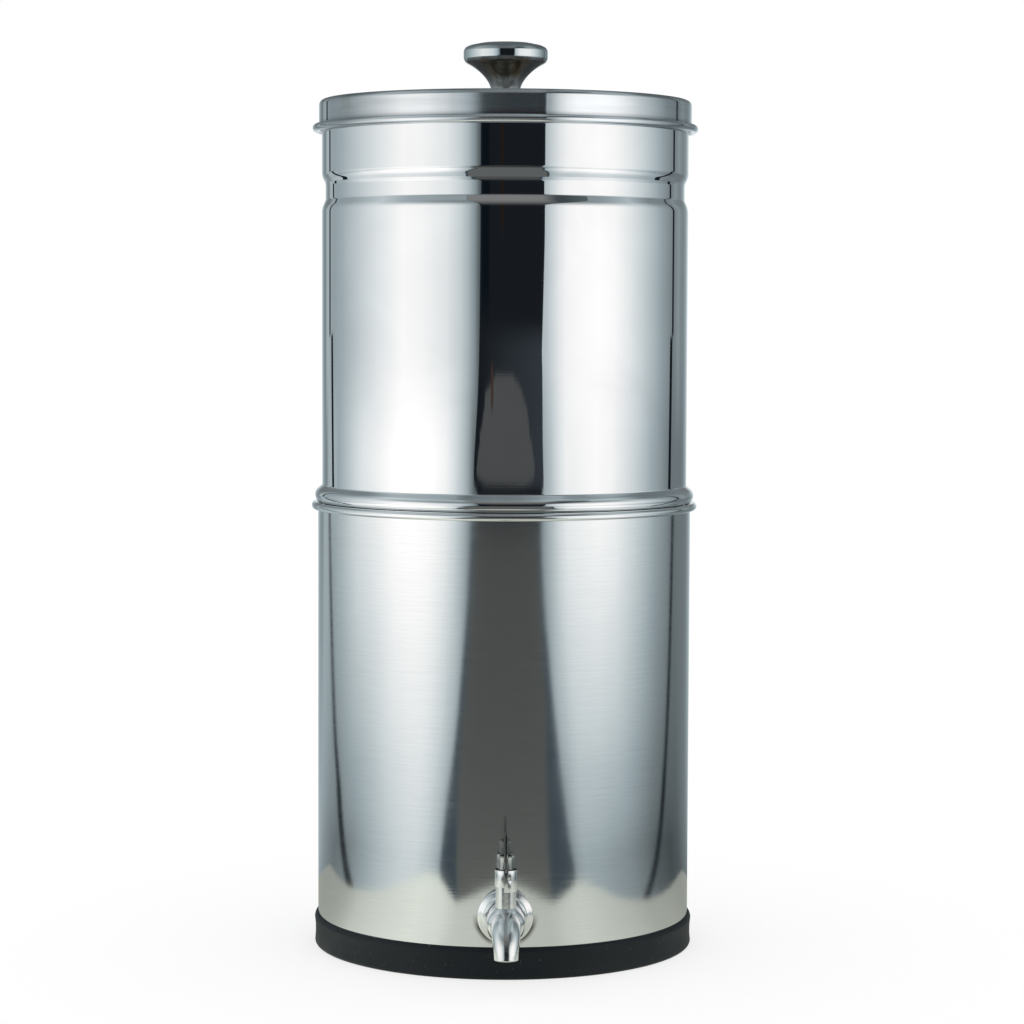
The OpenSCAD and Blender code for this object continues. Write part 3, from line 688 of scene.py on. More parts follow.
upper_path = rounded_floor(UPPER_R, UPPER_FLOOR_Z)
upper_path += eased([
    (UPPER_R, BEAD_Z - 6), (UPPER_R, BEAD_Z - 0.2, 0.9), (UPPER_R + 2.91, BEAD_Z - 0.2, 0.7),
    (UPPER_R + 3.65, BEAD_Z + 1.7, 0),
], closed=False)[1:-1]
upper_path += arc((UPPER_R - 0.8, BEAD_Z + 3.55), 4.9, -22, 49, 3)
upper_path += eased([
    (UPPER_R + 2.28, BEAD_Z + 7.35, 0), (UPPER_R, BEAD_Z + 9.15, 1.2), (UPPER_R, GROOVE_Z, 10),
    (UPPER_R - GROOVE_DEPTH, GROOVE_Z + 4.9, 3), (UPPER_R - GROOVE_DEPTH, GROOVE_Z + 12.8, 8),
    (UPPER_R - GROOVE_DEPTH + 0.2, GROOVE_Z + 14.6, 0.5), (UPPER_R, GROOVE_Z + 18.4, 10),
    (UPPER_R, UPPER_RIM_Z - 8, 0),
], closed=False, step=2)
upper_path += arc((UPPER_R - CURL_R, UPPER_RIM_Z - CURL_R), CURL_R, 0, 260, 8)
floor_holes = [
    rod((x, y, UPPER_FLOOR_Z - 2), (x, y, UPPER_FLOOR_Z + 2), STEM_HOLE_R)
    for x, y in ((CANDLE_REACH, 0), (-CANDLE_REACH, 0), (0, CANDLE_REACH), (0, -CANDLE_REACH))
]
upper_mesh = combined(turned(drawn(upper_path)), floor_holes, "DIFFERENCE")
upper_chamber = new_piece("upper_vessel", upper_mesh, "upper", [mirror_steel])
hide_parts("upper_chamber")

# ---- Candles --------------------------------------------------------------------------------
# Two ceramic domes, slip-cast and fired, stand on white plastic cups with a carbon core inside. Their
# threaded stems pass through the floor on silicone washers and are held by wing nuts from below.


def ceramic_finish():
    """Fired diatomaceous ceramic: chalky, cloudy and specked."""
    made, tree, shader = finish_nodes("ceramic")
    marks = use(tree, skin, Grain=0.0007, Specks=0.006)
    tone = blended(tree, marks["Cloud"], (0.80, 0.785, 0.74), (0.74, 0.72, 0.66))
    fill(tree, shader, {
        "Base Color": blended(tree, times(tree, marks["Specks"], 0.3), tone, (0.55, 0.52, 0.45)),
        "Roughness": spread(tree, marks["Cloud"], 0, 1, 0.78, 0.92),
        "Normal": relief(tree, marks["Grain"], 0.00008),
        "Specular IOR Level": 0.25,
    })
    return made


def carbon_finish():
    """Sintered carbon block, coarse and sooty."""
    made, tree, shader = finish_nodes("carbon")
    marks = use(tree, skin, Grain=0.0011, Specks=0.003)
    fill(tree, shader, {
        "Base Color": blended(tree, marks["Grain"], (0.008, 0.008, 0.009), (0.035, 0.035, 0.036)),
        "Roughness": spread(tree, marks["Cloud"], 0, 1, 0.75, 0.95),
        "Normal": relief(tree, marks["Grain"], 0.0003),
    })
    return made


def moulded_finish(name, tone, shade, roughness, clear):
    """Moulded plastic or silicone: a faint orange peel, and dust settled in soft patches."""
    made, tree, shader = finish_nodes(name)
    marks = use(tree, skin, Grain=0.0016, Specks=0.007)
    fill(tree, shader, {
        "Base Color": blended(tree, marks["Cloud"], tone, shade),
        "Roughness": spread(tree, marks["Cloud"], 0, 1, roughness - 0.05, roughness + 0.1),
        "Normal": relief(tree, marks["Grain"], 0.00002),
        "Subsurface Weight": clear,
        "Subsurface Radius": (0.004, 0.004, 0.004),
    })
    return made


ceramic = ceramic_finish()
carbon = carbon_finish()
white_plastic = moulded_finish("white_plastic", (0.80, 0.80, 0.78), (0.73, 0.73, 0.70), 0.32, 0.05)
silicone = moulded_finish("silicone", (0.70, 0.70, 0.67), (0.62, 0.62, 0.58), 0.5, 0.15)

CANDLE_Z = 239.8
CANDLE_H = 178.0
CANDLE_R = 24.0
SHELL_BORE_R = 17.0
SHELL_Z = CANDLE_Z + 4.0
dome_z = CANDLE_Z + CANDLE_H - CANDLE_R
shell_outline = [(SHELL_BORE_R, SHELL_Z), (CANDLE_R, SHELL_Z)] + arc((0, dome_z), CANDLE_R, 0, 89.9, 4)
shell_outline += [(0, dome_z + CANDLE_R), (0, dome_z + SHELL_BORE_R)]
shell_outline += arc((0, dome_z), SHELL_BORE_R, 89.9, 0, 5)
for side, sign in (("left", -1), ("right", 1)):
    stand = Matrix.Translation((sign * CANDLE_REACH * MM, 0, 0))
    shell = new_piece("candle_dome_" + side, turned(held(shell_outline), 120, stand), "upper",
                      [ceramic])
    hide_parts("candle_shell_" + side)
    dress(["candle_core_" + side], carbon)
    softened("candle_base_" + side, "upper", white_plastic, 0.3)
    dress(["candle_washer_" + side], silicone)
    softened("candle_wing_nut_" + side, "upper", white_plastic, 0.35)

# ---- Blank plugs ----------------------------------------------------------------------------
# White plastic plugs close the two holes that have no candle, with the same silicone washers above
# the floor and hex nuts below it.

for side in ("front", "back"):
    softened("blank_plug_" + side, "upper", white_plastic, 0.4)
    dress(["blank_washer_" + side], silicone)
    softened("blank_nut_" + side, "upper", white_plastic, 0.4)

# ---- Lid ------------------------------------------------------------------------------------
# Pressed from the same sheet with a rolled bead at the foot of its skirt, then buffed a little less
# than the chamber. A turned, polished knob is held by a screw and washer from below.

LID_R = 107.4
LID_TOP_Z = 489.0
LID_H = 18.45
LID_CORNER = 3.1
SCREW_HOLE_R = 3.3


def ramp(tree, value, stops):
    """A colour looked up on a ramp over 0 to 1, with stops (position, (r, g, b))."""
    node = put(tree, "ValToRGB", {"Fac": value})
    marks = node.color_ramp.elements
    while len(marks) < len(stops):
        marks.new(0.5)
    for mark, (place, colour) in zip(marks, stops):
        mark.position = place
        mark.color = (*colour, 1)
    return node.outputs["Color"]


def level_at(tree, value, table, low, high):
    """A level looked up in a table of (value, level) pairs, whose values lie between low and high."""
    stops = [((at - low) / (high - low), (level, level, level)) for at, level in table]
    return put(tree, "SeparateColor", {0: ramp(tree, spread(tree, value, low, high), stops)}).outputs[0]


def bearing_of(tree, x, y):
    """The bearing of a place from the front, in degrees: right of it is above 0."""
    return maths(tree, "DEGREES", maths(tree, "ARCTAN2", x, times(tree, y, -1.0)))


def below(top, depth):
    """A height in metres, as a depth below a top, both in millimetres."""
    return (top - depth) * MM


def within(tree, value, low, high, edge):
    """1 between low and high, falling to 0 over edge on both sides."""
    steps = []
    for limit, ends in ((low, (0.0, 1.0)), (high, (1.0, 0.0))):
        inputs = {"Value": value, "To Min": ends[0], "To Max": ends[1]}
        for socket, shift in (("From Min", -edge / 2), ("From Max", edge / 2)):
            moves = isinstance(limit, bpy.types.NodeSocket)
            inputs[socket] = plus(tree, limit, shift) if moves else limit + shift
        steps.append(put(tree, "MapRange", inputs, interpolation_type="SMOOTHSTEP").outputs["Result"])
    return times(tree, *steps)


# Painted shade: levels by bearing from the front that darken or lighten the lid's reflections.
PAINTED_SHADE_BY_BEARING = [
    (-90, 0.72), (-68, 0.70), (-60, 0.60), (-55, 0.54), (-48, 0.64), (-42, 0.72), (-36, 0.82), (-31, 0.88),
    (-24, 0.88), (-20, 0.80), (-16, 0.74), (-13, 0.80), (-8, 1.0), (9, 1.0), (12, 0.62), (15, 0.84),
    (20, 1.0), (32, 1.0), (38, 0.92), (43, 0.81), (50, 0.74), (57, 0.62), (63, 0.76), (90, 0.8),
]


def lid_steel_finish():
    """Buffed steel with long smears. Its tone is painted darker and lighter by bearing from the front, darker
    on the top and at the foot of the skirt, and bluish at the front middle: painted shade and painted
    reflection.
    """
    made, tree, shader = finish_nodes("lid_steel")
    marks = use(tree, marks_of_use, Length=0.03, Height=0.0005)
    x, y, z = position(tree)
    bearing = bearing_of(tree, x, y)
    on_skirt = maths(tree, "LESS_THAN", hypotenuse(tree, x, y), (LID_R + 0.3) * MM)
    # Painted shade by bearing from the front.
    painted_shade_by_bearing = level_at(tree, bearing, PAINTED_SHADE_BY_BEARING, -90.0, 90.0)
    around = put(tree, "CombineXYZ", {0: times(tree, bearing, 0.03), 2: times(tree, z, 260.0)}).outputs[0]
    smear = spread(tree, noise(tree, around, 1.0, 3.0), 0.3, 0.7, 0.9, 1.06)
    # Painted shade: the lid is darker over its top corner and in a band at the foot of the skirt above the
    # bead.
    top = spread(tree, z, below(LID_TOP_Z, 3.2), below(LID_TOP_Z, 0), 1.0, 0.6, smooth=True)
    foot = spread(tree, z, below(LID_TOP_Z, 11.4), below(LID_TOP_Z, 14.4), 0.0, -0.45, smooth=True)
    level = times(tree, painted_shade_by_bearing, smear, top, plus(tree, 1.0, times(tree, on_skirt, foot)))
    # Painted reflection: a bluish tint on the front middle of the skirt, where the dark gap is reflected.
    middle = times(tree, within(tree, bearing, -7.0, 10.0, 5.0), on_skirt,
                   within(tree, z, below(LID_TOP_Z, 10.5), below(LID_TOP_Z, 2.8), 0.001))
    tint = blended(tree, middle, (0.775, 0.795, 0.81), (0.82, 0.96, 1.0))
    stain = times(tree, within(tree, bearing, -59.5, -54.5, 2.0), 0.35,
                  within(tree, z, below(LID_TOP_Z, 8.0), below(LID_TOP_Z, 0.5), 0.002))
    tint = blended(tree, stain, tint, (0.62, 0.60, 0.52))
    grey = put(tree, "CombineColor", {0: level, 1: level, 2: level}).outputs[0]
    dulled = times(tree, within(tree, bearing, -16.0, 0.0, 9.0), 0.10)
    fill(tree, shader, {
        "Base Color": blended(tree, marks["Pits"], scaled(tree, tint, grey), (0.5, 0.5, 0.5)),
        "Roughness": plus(tree, dulled, times(tree, marks["Smears"], 0.03), 0.045),
        "Normal": relief(tree, marks["Streaks"], 0.0000006),
        "Metallic": 0.955,
    })
    return made


lid_steel = lid_steel_finish()
lid_path = arc((LID_R + CURL_R - SHEET, LID_TOP_Z - LID_H + CURL_R), CURL_R - SHEET, 470, 180, 8)
lid_path += arc((LID_R - LID_CORNER, LID_TOP_Z - LID_CORNER), LID_CORNER, 0, 90, 6) + [(0, LID_TOP_Z)]
screw_hole = rod((0, 0, LID_TOP_Z - 4), (0, 0, LID_TOP_Z + 3), SCREW_HOLE_R, 48)
lid_mesh = combined(turned(drawn(lid_path)), [screw_hole], "DIFFERENCE")
lid = new_piece("pressed_lid", lid_mesh, "lid", [lid_steel])
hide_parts("lid")

KNOB_R = 24.3
KNOB_TOP_Z = 522.7
NECK_R = 8.4
SCREW_R = 3.05
SCREW_DEPTH = 16.0
disc_z = KNOB_TOP_Z - 11.9
neck_z = LID_TOP_Z + 6.2
neck = [(NECK_R, neck_z), (NECK_R + 0.5, neck_z + (disc_z - neck_z) * 0.35), (NECK_R + 7, disc_z - 3.6),
        (KNOB_R - 2.2, disc_z - 0.5)]
neck_points = [(-p.y / MM, p.z / MM) for p in along_bezier(neck, 24)]
knob_outline = [(SCREW_R, LID_TOP_Z)] + eased([
    (NECK_R + 1.6, LID_TOP_Z, 0.2), (NECK_R + 1.6, LID_TOP_Z + 1.2, 0.4),
    (NECK_R + 0.4, LID_TOP_Z + 2.4, 0.6), (NECK_R, neck_z, 0),
], closed=False)[:-1]
knob_outline += neck_points + eased([
    (KNOB_R - 2.2, disc_z - 0.5, 0), (KNOB_R - 0.9, disc_z + 0.5, 0.9), (KNOB_R, KNOB_TOP_Z - 9.6, 2.2),
    (KNOB_R, KNOB_TOP_Z - 5.2, 2.2), (KNOB_R - 1.0, KNOB_TOP_Z - 3.2, 2.2),
    (KNOB_R - 3.6, KNOB_TOP_Z - 2.0, 3), (KNOB_R - 9.9, KNOB_TOP_Z - 0.6, 16), (0, KNOB_TOP_Z, 0),
], closed=False)[1:]
knob_outline += [(0, LID_TOP_Z + SCREW_DEPTH), (SCREW_R, LID_TOP_Z + SCREW_DEPTH)]


def knob_steel_finish():
    """Turned steel: a polished rim and a satin top, whose tone is painted darker as painted shade. The neck
    and underside are painted dark and brownish, darkest facing the front: painted shade and painted
    reflection.
    """
    made, tree, shader = finish_nodes("knob_steel")
    marks = use(tree, marks_of_use, Length=0.01, Height=0.0004)
    x, y, z = position(tree)
    bearing = bearing_of(tree, x, y)
    # Painted shade and painted reflection under the disc: darkest facing the front, with brown streaks to
    # either side and a lighter band at the neck's foot.
    away = spread(tree, maths(tree, "ABSOLUTE", bearing), 8.0, 70.0, smooth=True)
    under = blended(tree, away, (0.20, 0.19, 0.155), (0.27, 0.265, 0.25))
    streak = plus(tree, within(tree, bearing, -40.0, -24.0, 12.0), within(tree, bearing, 16.0, 36.0, 12.0))
    under = blended(tree, times(tree, streak, 0.8), under, (0.21, 0.15, 0.085))
    neck_foot = spread(tree, z, below(KNOB_TOP_Z, 18.2), below(KNOB_TOP_Z, 24.2), smooth=True)
    under = blended(tree, neck_foot, under, (0.44, 0.455, 0.45))
    underside = spread(tree, z, below(KNOB_TOP_Z, 9.1), below(KNOB_TOP_Z, 11.5))
    tone = blended(tree, underside, (0.64, 0.672, 0.68), under)
    # The top is rougher as a satin finish, and its tone is also painted darker: painted shade.
    top = spread(tree, z, below(KNOB_TOP_Z, 5.3), below(KNOB_TOP_Z, 3.7))
    tone = blended(tree, top, tone, (0.34, 0.355, 0.36))
    rough = spread(tree, top, 0.0, 1.0, 0.055, 0.30)
    fill(tree, shader, {
        "Base Color": blended(tree, times(tree, marks["Smears"], 0.12), tone, (0.2, 0.2, 0.19)),
        "Roughness": plus(tree, rough, times(tree, marks["Smears"], 0.03)),
        "Normal": relief(tree, marks["Streaks"], 0.0000008),
        "Metallic": spread(tree, z, below(KNOB_TOP_Z, 11.7), below(KNOB_TOP_Z, 9.3), 0.74, 1.0),
    })
    return made


knob_steel = knob_steel_finish()
knob_mesh = turned(held(knob_outline, longest=3), 192)
knob = new_piece("turned_knob", knob_mesh, "lid", [knob_steel])
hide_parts("lid_knob")
dress(["lid_washer", "lid_screw"], plain_steel)

# ---- Studio ---------------------------------------------------------------------------------
# A white floor and an even white sky light the filter. Its steel mirrors the studio that it stands in:
# bright screens left and right, a dark gap between them, a grey ceiling, pale boards and a white table.


def only_for(thing, rays):
    """Shows a thing to these kinds of rays alone."""
    for kind in ("camera", "diffuse", "glossy", "transmission", "volume_scatter", "shadow"):
        setattr(thing, "visible_" + kind, kind in rays)


def studio_sheet(name, corners, height, seen_by):
    """A level sheet with these corners."""
    bm = bmesh.new()
    bm.faces.new([bm.verts.new((x, y, height)) for x, y in corners])
    sheet = new_piece(name, bm, None, [])
    only_for(sheet, seen_by)
    return sheet


def glow_nodes(name):
    """A material that only gives off light, and is never sampled as a lamp."""
    made = bpy.data.materials.new(name)
    made.use_nodes = True
    made.cycles.emission_sampling = "NONE"
    tree = made.node_tree
    tree.nodes.remove(tree.nodes["Principled BSDF"])
    glow = put(tree, "Emission")
    tree.links.new(glow.outputs[0], tree.nodes["Material Output"].inputs["Surface"])
    return made, tree, glow


def by_bearing(tree, bearing, left, right):
    """A light level by bearing from the front in degrees, from one table for each side."""
    away = maths(tree, "ABSOLUTE", bearing)
    levels = [level_at(tree, away, table, 0.0, 180.0) for table in (left, right)]
    is_right = maths(tree, "GREATER_THAN", bearing, 0.0)
    return put(tree, "Mix", {0: is_right, 2: levels[0], 3: levels[1]}).outputs[0]


def cooled(tree, level):
    """A screen's colour at a level: white where it is bright, a cooler grey where it falls off."""
    red = times(tree, level, spread(tree, level, 0.45, 1.2, 0.83, 1.0))
    blue = times(tree, level, spread(tree, level, 0.45, 1.2, 1.07, 1.0))
    return put(tree, "CombineColor", {0: red, 1: level, 2: blue}).outputs[0]


WALL_LEFT = [
    (0, 0.12), (15, 0.12), (16.5, 0.19), (18.5, 0.36), (20.5, 0.46), (22, 0.56), (27, 0.78), (36, 1.01),
    (52, 1.17), (66, 1.22), (82, 1.03), (104, 0.74), (122, 0.52), (134, 0.43), (141, 0.43), (144.5, 0.5),
    (149.5, 0.52), (152, 0.36), (155, 0.25), (158.6, 0.31), (163, 0.41), (170, 0.6), (176, 0.9),
]
WALL_RIGHT = [
    (0, 0.6), (25, 0.65), (33, 1.0), (38, 1.16), (46, 1.24), (60, 1.27), (71, 1.21), (84, 1.01), (99, 0.73),
    (116, 0.43), (126, 0.31), (131, 0.26), (135, 0.29), (140, 0.35), (144.8, 0.285), (149.7, 0.27),
    (155.6, 0.33), (159.4, 0.43), (164, 0.6), (172, 0.9),
]
CEILING_LEFT = [
    (0, 0.21), (25, 0.26), (45, 0.33), (60, 0.42), (75, 0.50), (95, 0.72), (125, 0.33), (150, 0.24),
]
CEILING_RIGHT = [
    (0, 0.21), (40, 0.25), (60, 0.33), (75, 0.40), (95, 0.58), (104, 0.38), (113, 0.21), (125, 0.22),
    (150, 0.20),
]
OVERHEAD = [
    (-0.76, 1.1), (-0.675, 0.9), (-0.58, 0.72), (-0.516, 0.56), (-0.4, 0.52), (-0.305, 0.45), (-0.276, 0.31),
    (-0.229, 0.215), (-0.179, 0.235), (-0.127, 0.255), (-0.073, 0.28), (0.0, 0.265), (0.09, 0.28),
    (0.143, 0.31), (0.195, 0.35), (0.244, 0.42), (0.29, 0.5), (0.333, 0.52), (0.371, 0.38), (0.45, 0.36),
    (0.56, 0.6), (0.675, 0.8), (0.76, 1.05),
]
GAP_BELOW = [
    (0.0, -15.3, 23.4), (0.6, -15.6, 22.9), (1.0, -15.9, 23.3), (1.6, -16.6, 23.5), (2.2, -17.7, 23.6),
    (2.7, -18.6, 23.9), (3.0, -18.8, 24.2), (3.14, -18.8, 24.3), (3.24, -18.4, 24.2), (3.32, -17.7, 23.8),
    (3.37, -16.6, 23.0),
]
GAP_ABOVE = [
    (0, -15.3, 23.4), (1.5, -15.0, 24.4), (5, -15.0, 24.6), (18, -16.0, 25.0), (24, -17.2, 30.0),
    (34, -21.0, 46.0), (40, -24.0, 60.0), (44, -27.5, 66.0), (48, -30.5, 69.0), (52, -32.0, 70.0),
]
GAP_LEVEL = [
    (0, 0.0), (10, 0.0), (18, 0.024), (25, 0.08), (30, 0.12), (38, 0.165), (45, 0.215), (52, 0.235),
]
CARD = [
    (1.02, -5, 5), (1.1, -5.4, 5.9), (1.23, -8, 8.4), (1.39, -11.1, 11.2), (1.73, -12.6, 13.6),
    (2.13, -14.1, 15.4), (2.48, -15.6, 17.0), (2.83, -17.0, 18.7), (2.98, -17.0, 18.9), (3.1, -15.7, 17.8),
    (3.2, -12.2, 13.5), (3.27, -4.0, 4.0),
]
LOWEST = 4.0
HIGHEST = 60.0


def edges(tree, value, scale, table):
    """Bearings of a left and a right edge, in degrees, from a table by value."""
    colours = ramp(tree, maths(tree, "DIVIDE", value, scale),
                   [(at / scale, (-left / 90, right / 90, 0)) for at, left, right in table])
    parts = put(tree, "SeparateColor", {0: colours}).outputs
    return times(tree, parts[0], -90.0), times(tree, parts[1], 90.0)


FAR_LEFT = [
    (0, 0.2), (19, 0.2), (21, 0.34), (23, 0.48), (30, 0.83), (36, 1.06), (45, 1.23), (56, 1.29), (68, 1.26),
    (85, 1.03), (99, 0.89), (116, 0.59), (127, 0.44), (131, 0.5), (144, 0.5), (147, 0.38), (150, 0.28),
    (154.6, 0.32), (160, 0.4), (168, 0.7),
]
FAR_RIGHT = [
    (0, 0.4), (24, 0.42), (28, 0.58), (33, 0.83), (38, 1.02), (48, 1.09), (58, 1.15), (70, 1.08), (82, 0.86),
    (104, 0.44), (122, 0.24), (128, 0.2), (135, 0.21), (146, 0.21), (152, 0.25), (158, 0.38), (165, 0.55),
    (172, 0.8),
]
NEAR_LEFT = [
    (0, 0.3), (31, 0.32), (36, 0.5), (42, 0.70), (49, 0.83), (57, 0.8), (70, 0.64), (82, 0.46), (96, 0.29),
    (114, 0.2), (126, 0.28), (152, 0.48),
]
NEAR_RIGHT = [
    (0, 0.2), (37, 0.24), (41, 0.40), (45, 0.47), (54, 0.44), (64, 0.37), (75, 0.31), (88, 0.2), (97, 0.13),
    (113, 0.086), (125, 0.12), (146, 0.24), (160, 0.5),
]
AT_HORIZON = -0.16


def screens(tree, bearing, low, near):
    """The screens' level by bearing: low goes from 0 at eye level to 1 over the far boards, and near goes on
    from 0 over the far boards to 1 over those beside the filter."""
    far_level = by_bearing(tree, bearing, FAR_LEFT, FAR_RIGHT)
    near_level = by_bearing(tree, bearing, NEAR_LEFT, NEAR_RIGHT)
    floor_level = plus(tree, far_level, times(tree, near, minus(tree, near_level, far_level)))
    wall_level = by_bearing(tree, bearing, WALL_LEFT, WALL_RIGHT)
    return plus(tree, wall_level, times(tree, low, minus(tree, floor_level, wall_level)))


def walls_and_ceiling(tree, x, bearing, rise, fall):
    """Screens all round with a dark seam in each back corner, and the ceiling over them."""
    level = screens(tree, bearing, spread(tree, fall, 0.5, 3.0, smooth=True), AT_HORIZON)
    seams = maths(tree, "MAXIMUM", within(tree, bearing, -144.2, -141.6, 0.4),
                  within(tree, bearing, 129.4, 132.0, 0.4))
    light = blended(tree, seams, cooled(tree, level), (0.010, 0.014, 0.017))
    behind = times(tree, spread(tree, maths(tree, "ABSOLUTE", bearing), 138.0, 165.0, smooth=True),
                   spread(tree, rise, 3.0, 12.0, smooth=True))
    light = blended(tree, behind, light, (0.17, 0.19, 0.20))
    ceiling = cooled(tree, by_bearing(tree, bearing, CEILING_LEFT, CEILING_RIGHT))
    light = blended(tree, spread(tree, rise, 9.0, 38.0, smooth=True), light, ceiling)
    across = times(tree, x, 1 / ROOM_R)
    above = cooled(tree, level_at(tree, across, OVERHEAD, -1.0, 1.0))
    return blended(tree, spread(tree, rise, 40.0, 56.0, smooth=True), light, above)


def gap_tone(tree, bearing, rise, fall):
    """What the gap shows: nearly black, bluish low down, with a brown edge and a tongue of grey above."""
    bluish = times(tree, spread(tree, bearing, -16.0, 22.0), spread(tree, fall, 0.0, 0.5),
                   spread(tree, fall, 3.15, 3.3, 1.0, 0.0))
    tone = blended(tree, bluish, (0.0105, 0.0135, 0.018), (0.037, 0.046, 0.056))
    brown = times(tree, within(tree, bearing, -2.9, -0.9, 0.7), spread(tree, rise, 1.5, 1.8))
    tone = blended(tree, brown, tone, (0.018, 0.0125, 0.010))
    deep = times(tree, within(tree, bearing, -14.0, -9.6, 1.5), spread(tree, rise, -0.3, 0.6))
    tone = blended(tree, deep, tone, (0.004, 0.008, 0.012))
    dim = level_at(tree, rise, GAP_LEVEL, 0.0, HIGHEST)
    grey = put(tree, "CombineColor", {0: dim, 1: dim, 2: dim}).outputs[0]
    tone = put(tree, "VectorMath", {0: tone, 1: grey}, operation="ADD").outputs[0]
    tongue = times(tree, spread(tree, bearing, 29.0, 40.0), spread(tree, rise, 18.0, 26.0))
    far_tongue = blended(tree, spread(tree, bearing, 46.0, 60.0), (0.060, 0.078, 0.088), (0.11, 0.135, 0.145))
    return blended(tree, tongue, tone, far_tongue)


def with_gap(tree, light, bearing, rise, fall):
    """The dark gap between the screens, with its thin frame."""
    low_left, low_right = edges(tree, fall, LOWEST, GAP_BELOW)
    high_left, high_right = edges(tree, rise, HIGHEST, GAP_ABOVE)
    _, left_end, right_end = GAP_BELOW[0]
    left_edge = plus(tree, low_left, high_left, -left_end)
    right_edge = plus(tree, low_right, high_right, -right_end)
    frame_wide = times(tree, spread(tree, rise, 12.0, 20.0), spread(tree, rise, 23.0, 28.0, 2.2, 0.0))
    inner_left, inner_right = plus(tree, left_edge, frame_wide), minus(tree, right_edge, frame_wide)
    inside = within(tree, bearing, inner_left, inner_right, 0.6)
    tone = blended(tree, inside, (0.022, 0.028, 0.034), gap_tone(tree, bearing, rise, fall))
    ends = spread(tree, rise, 52.0, 57.0, 1.0, 0.0, smooth=True)
    gap = times(tree, within(tree, bearing, left_edge, right_edge, 0.35), ends)
    return blended(tree, gap, light, tone)


def with_card(tree, light, bearing, z, fall):
    """A grey card low in the gap, a little wavy at its edges, and a reddish streak beside its top."""
    upright = put(tree, "CombineXYZ", {2: z}).outputs[0]
    wavy = plus(tree, bearing, times(tree, minus(tree, noise(tree, upright, 2.2), 0.5), 4.0))
    card = times(tree, within(tree, wavy, *edges(tree, fall, LOWEST, CARD), 0.5),
                 within(tree, fall, 1.06, 3.22, 0.03))
    light = blended(tree, card, light, (0.084, 0.089, 0.091))
    streak = times(tree, within(tree, bearing, -8.3, -6.9, 0.6), within(tree, fall, 0.9, 1.75, 0.2))
    return blended(tree, streak, light, (0.058, 0.038, 0.030))


def room_glow():
    """The room's light by bearing from the front and by rise or fall from eye level, all in degrees."""
    made, tree, glow = glow_nodes("studio_room")
    x, y, z = position(tree)
    bearing = bearing_of(tree, x, y)
    rise = maths(tree, "DEGREES", maths(tree, "ARCTAN2", z, hypotenuse(tree, x, y)))
    fall = times(tree, rise, -1.0)
    light = walls_and_ceiling(tree, x, bearing, rise, fall)
    light = with_gap(tree, light, bearing, rise, fall)
    fill(tree, glow, {"Color": with_card(tree, light, bearing, z, fall)})
    return made


ROOM_R = 100.0
bm = bmesh.new()
bmesh.ops.create_icosphere(bm, subdivisions=4, radius=ROOM_R)
room = new_piece("studio_room", bm, None, [room_glow()])
only_for(room, ("glossy",))

NEARNESS = [(0.0, 0.03), (0.057, 0.05), (0.095, 0.2), (0.178, 0.48), (0.353, 0.87), (0.65, 1.2), (1.0, 1.2)]
DARK_BOARDS = [
    (0.085, -19.5, 21.8), (0.132, -21.7, 23.7), (0.175, -23.9, 26.5), (0.231, -26.0, 29.0),
    (0.291, -28.0, 31.5), (0.422, -31.9, 34.9), (0.519, -33.2, 36.3), (0.68, -34.2, 38.8),
    (0.77, -32.5, 39.2), (0.84, -28.5, 33.8), (0.93, -22.8, 26.8),
]
GREY_BOARDS = [
    (0.085, -17.2, 20.1), (0.132, -19.4, 21.9), (0.175, -21.0, 23.4), (0.231, -22.6, 24.9),
    (0.291, -24.9, 25.0), (0.42, -25.8, 24.9), (0.67, -24.9, 24.8), (0.93, -22.8, 25.4),
]
SEAM_LEFT = [(0.866, 0.252), (1.153, 0.436)]
SEAM_RIGHT = [(0.735, 0.243), (0.805, 0.293)]


def seam_mask(tree, x, y, side, runs, wide):
    """The dark line between the boards and the backdrop, running back and out on one side in two runs."""
    out = times(tree, x, float(side))
    near, far = [minus(tree, times(tree, out, slope), start) for slope, start in runs]
    off_line = maths(tree, "ABSOLUTE", minus(tree, y, maths(tree, "MAXIMUM", near, far)))
    mask = maths(tree, "LESS_THAN", off_line, times(tree, out, wide))
    return times(tree, mask, maths(tree, "GREATER_THAN", out, 0.2))


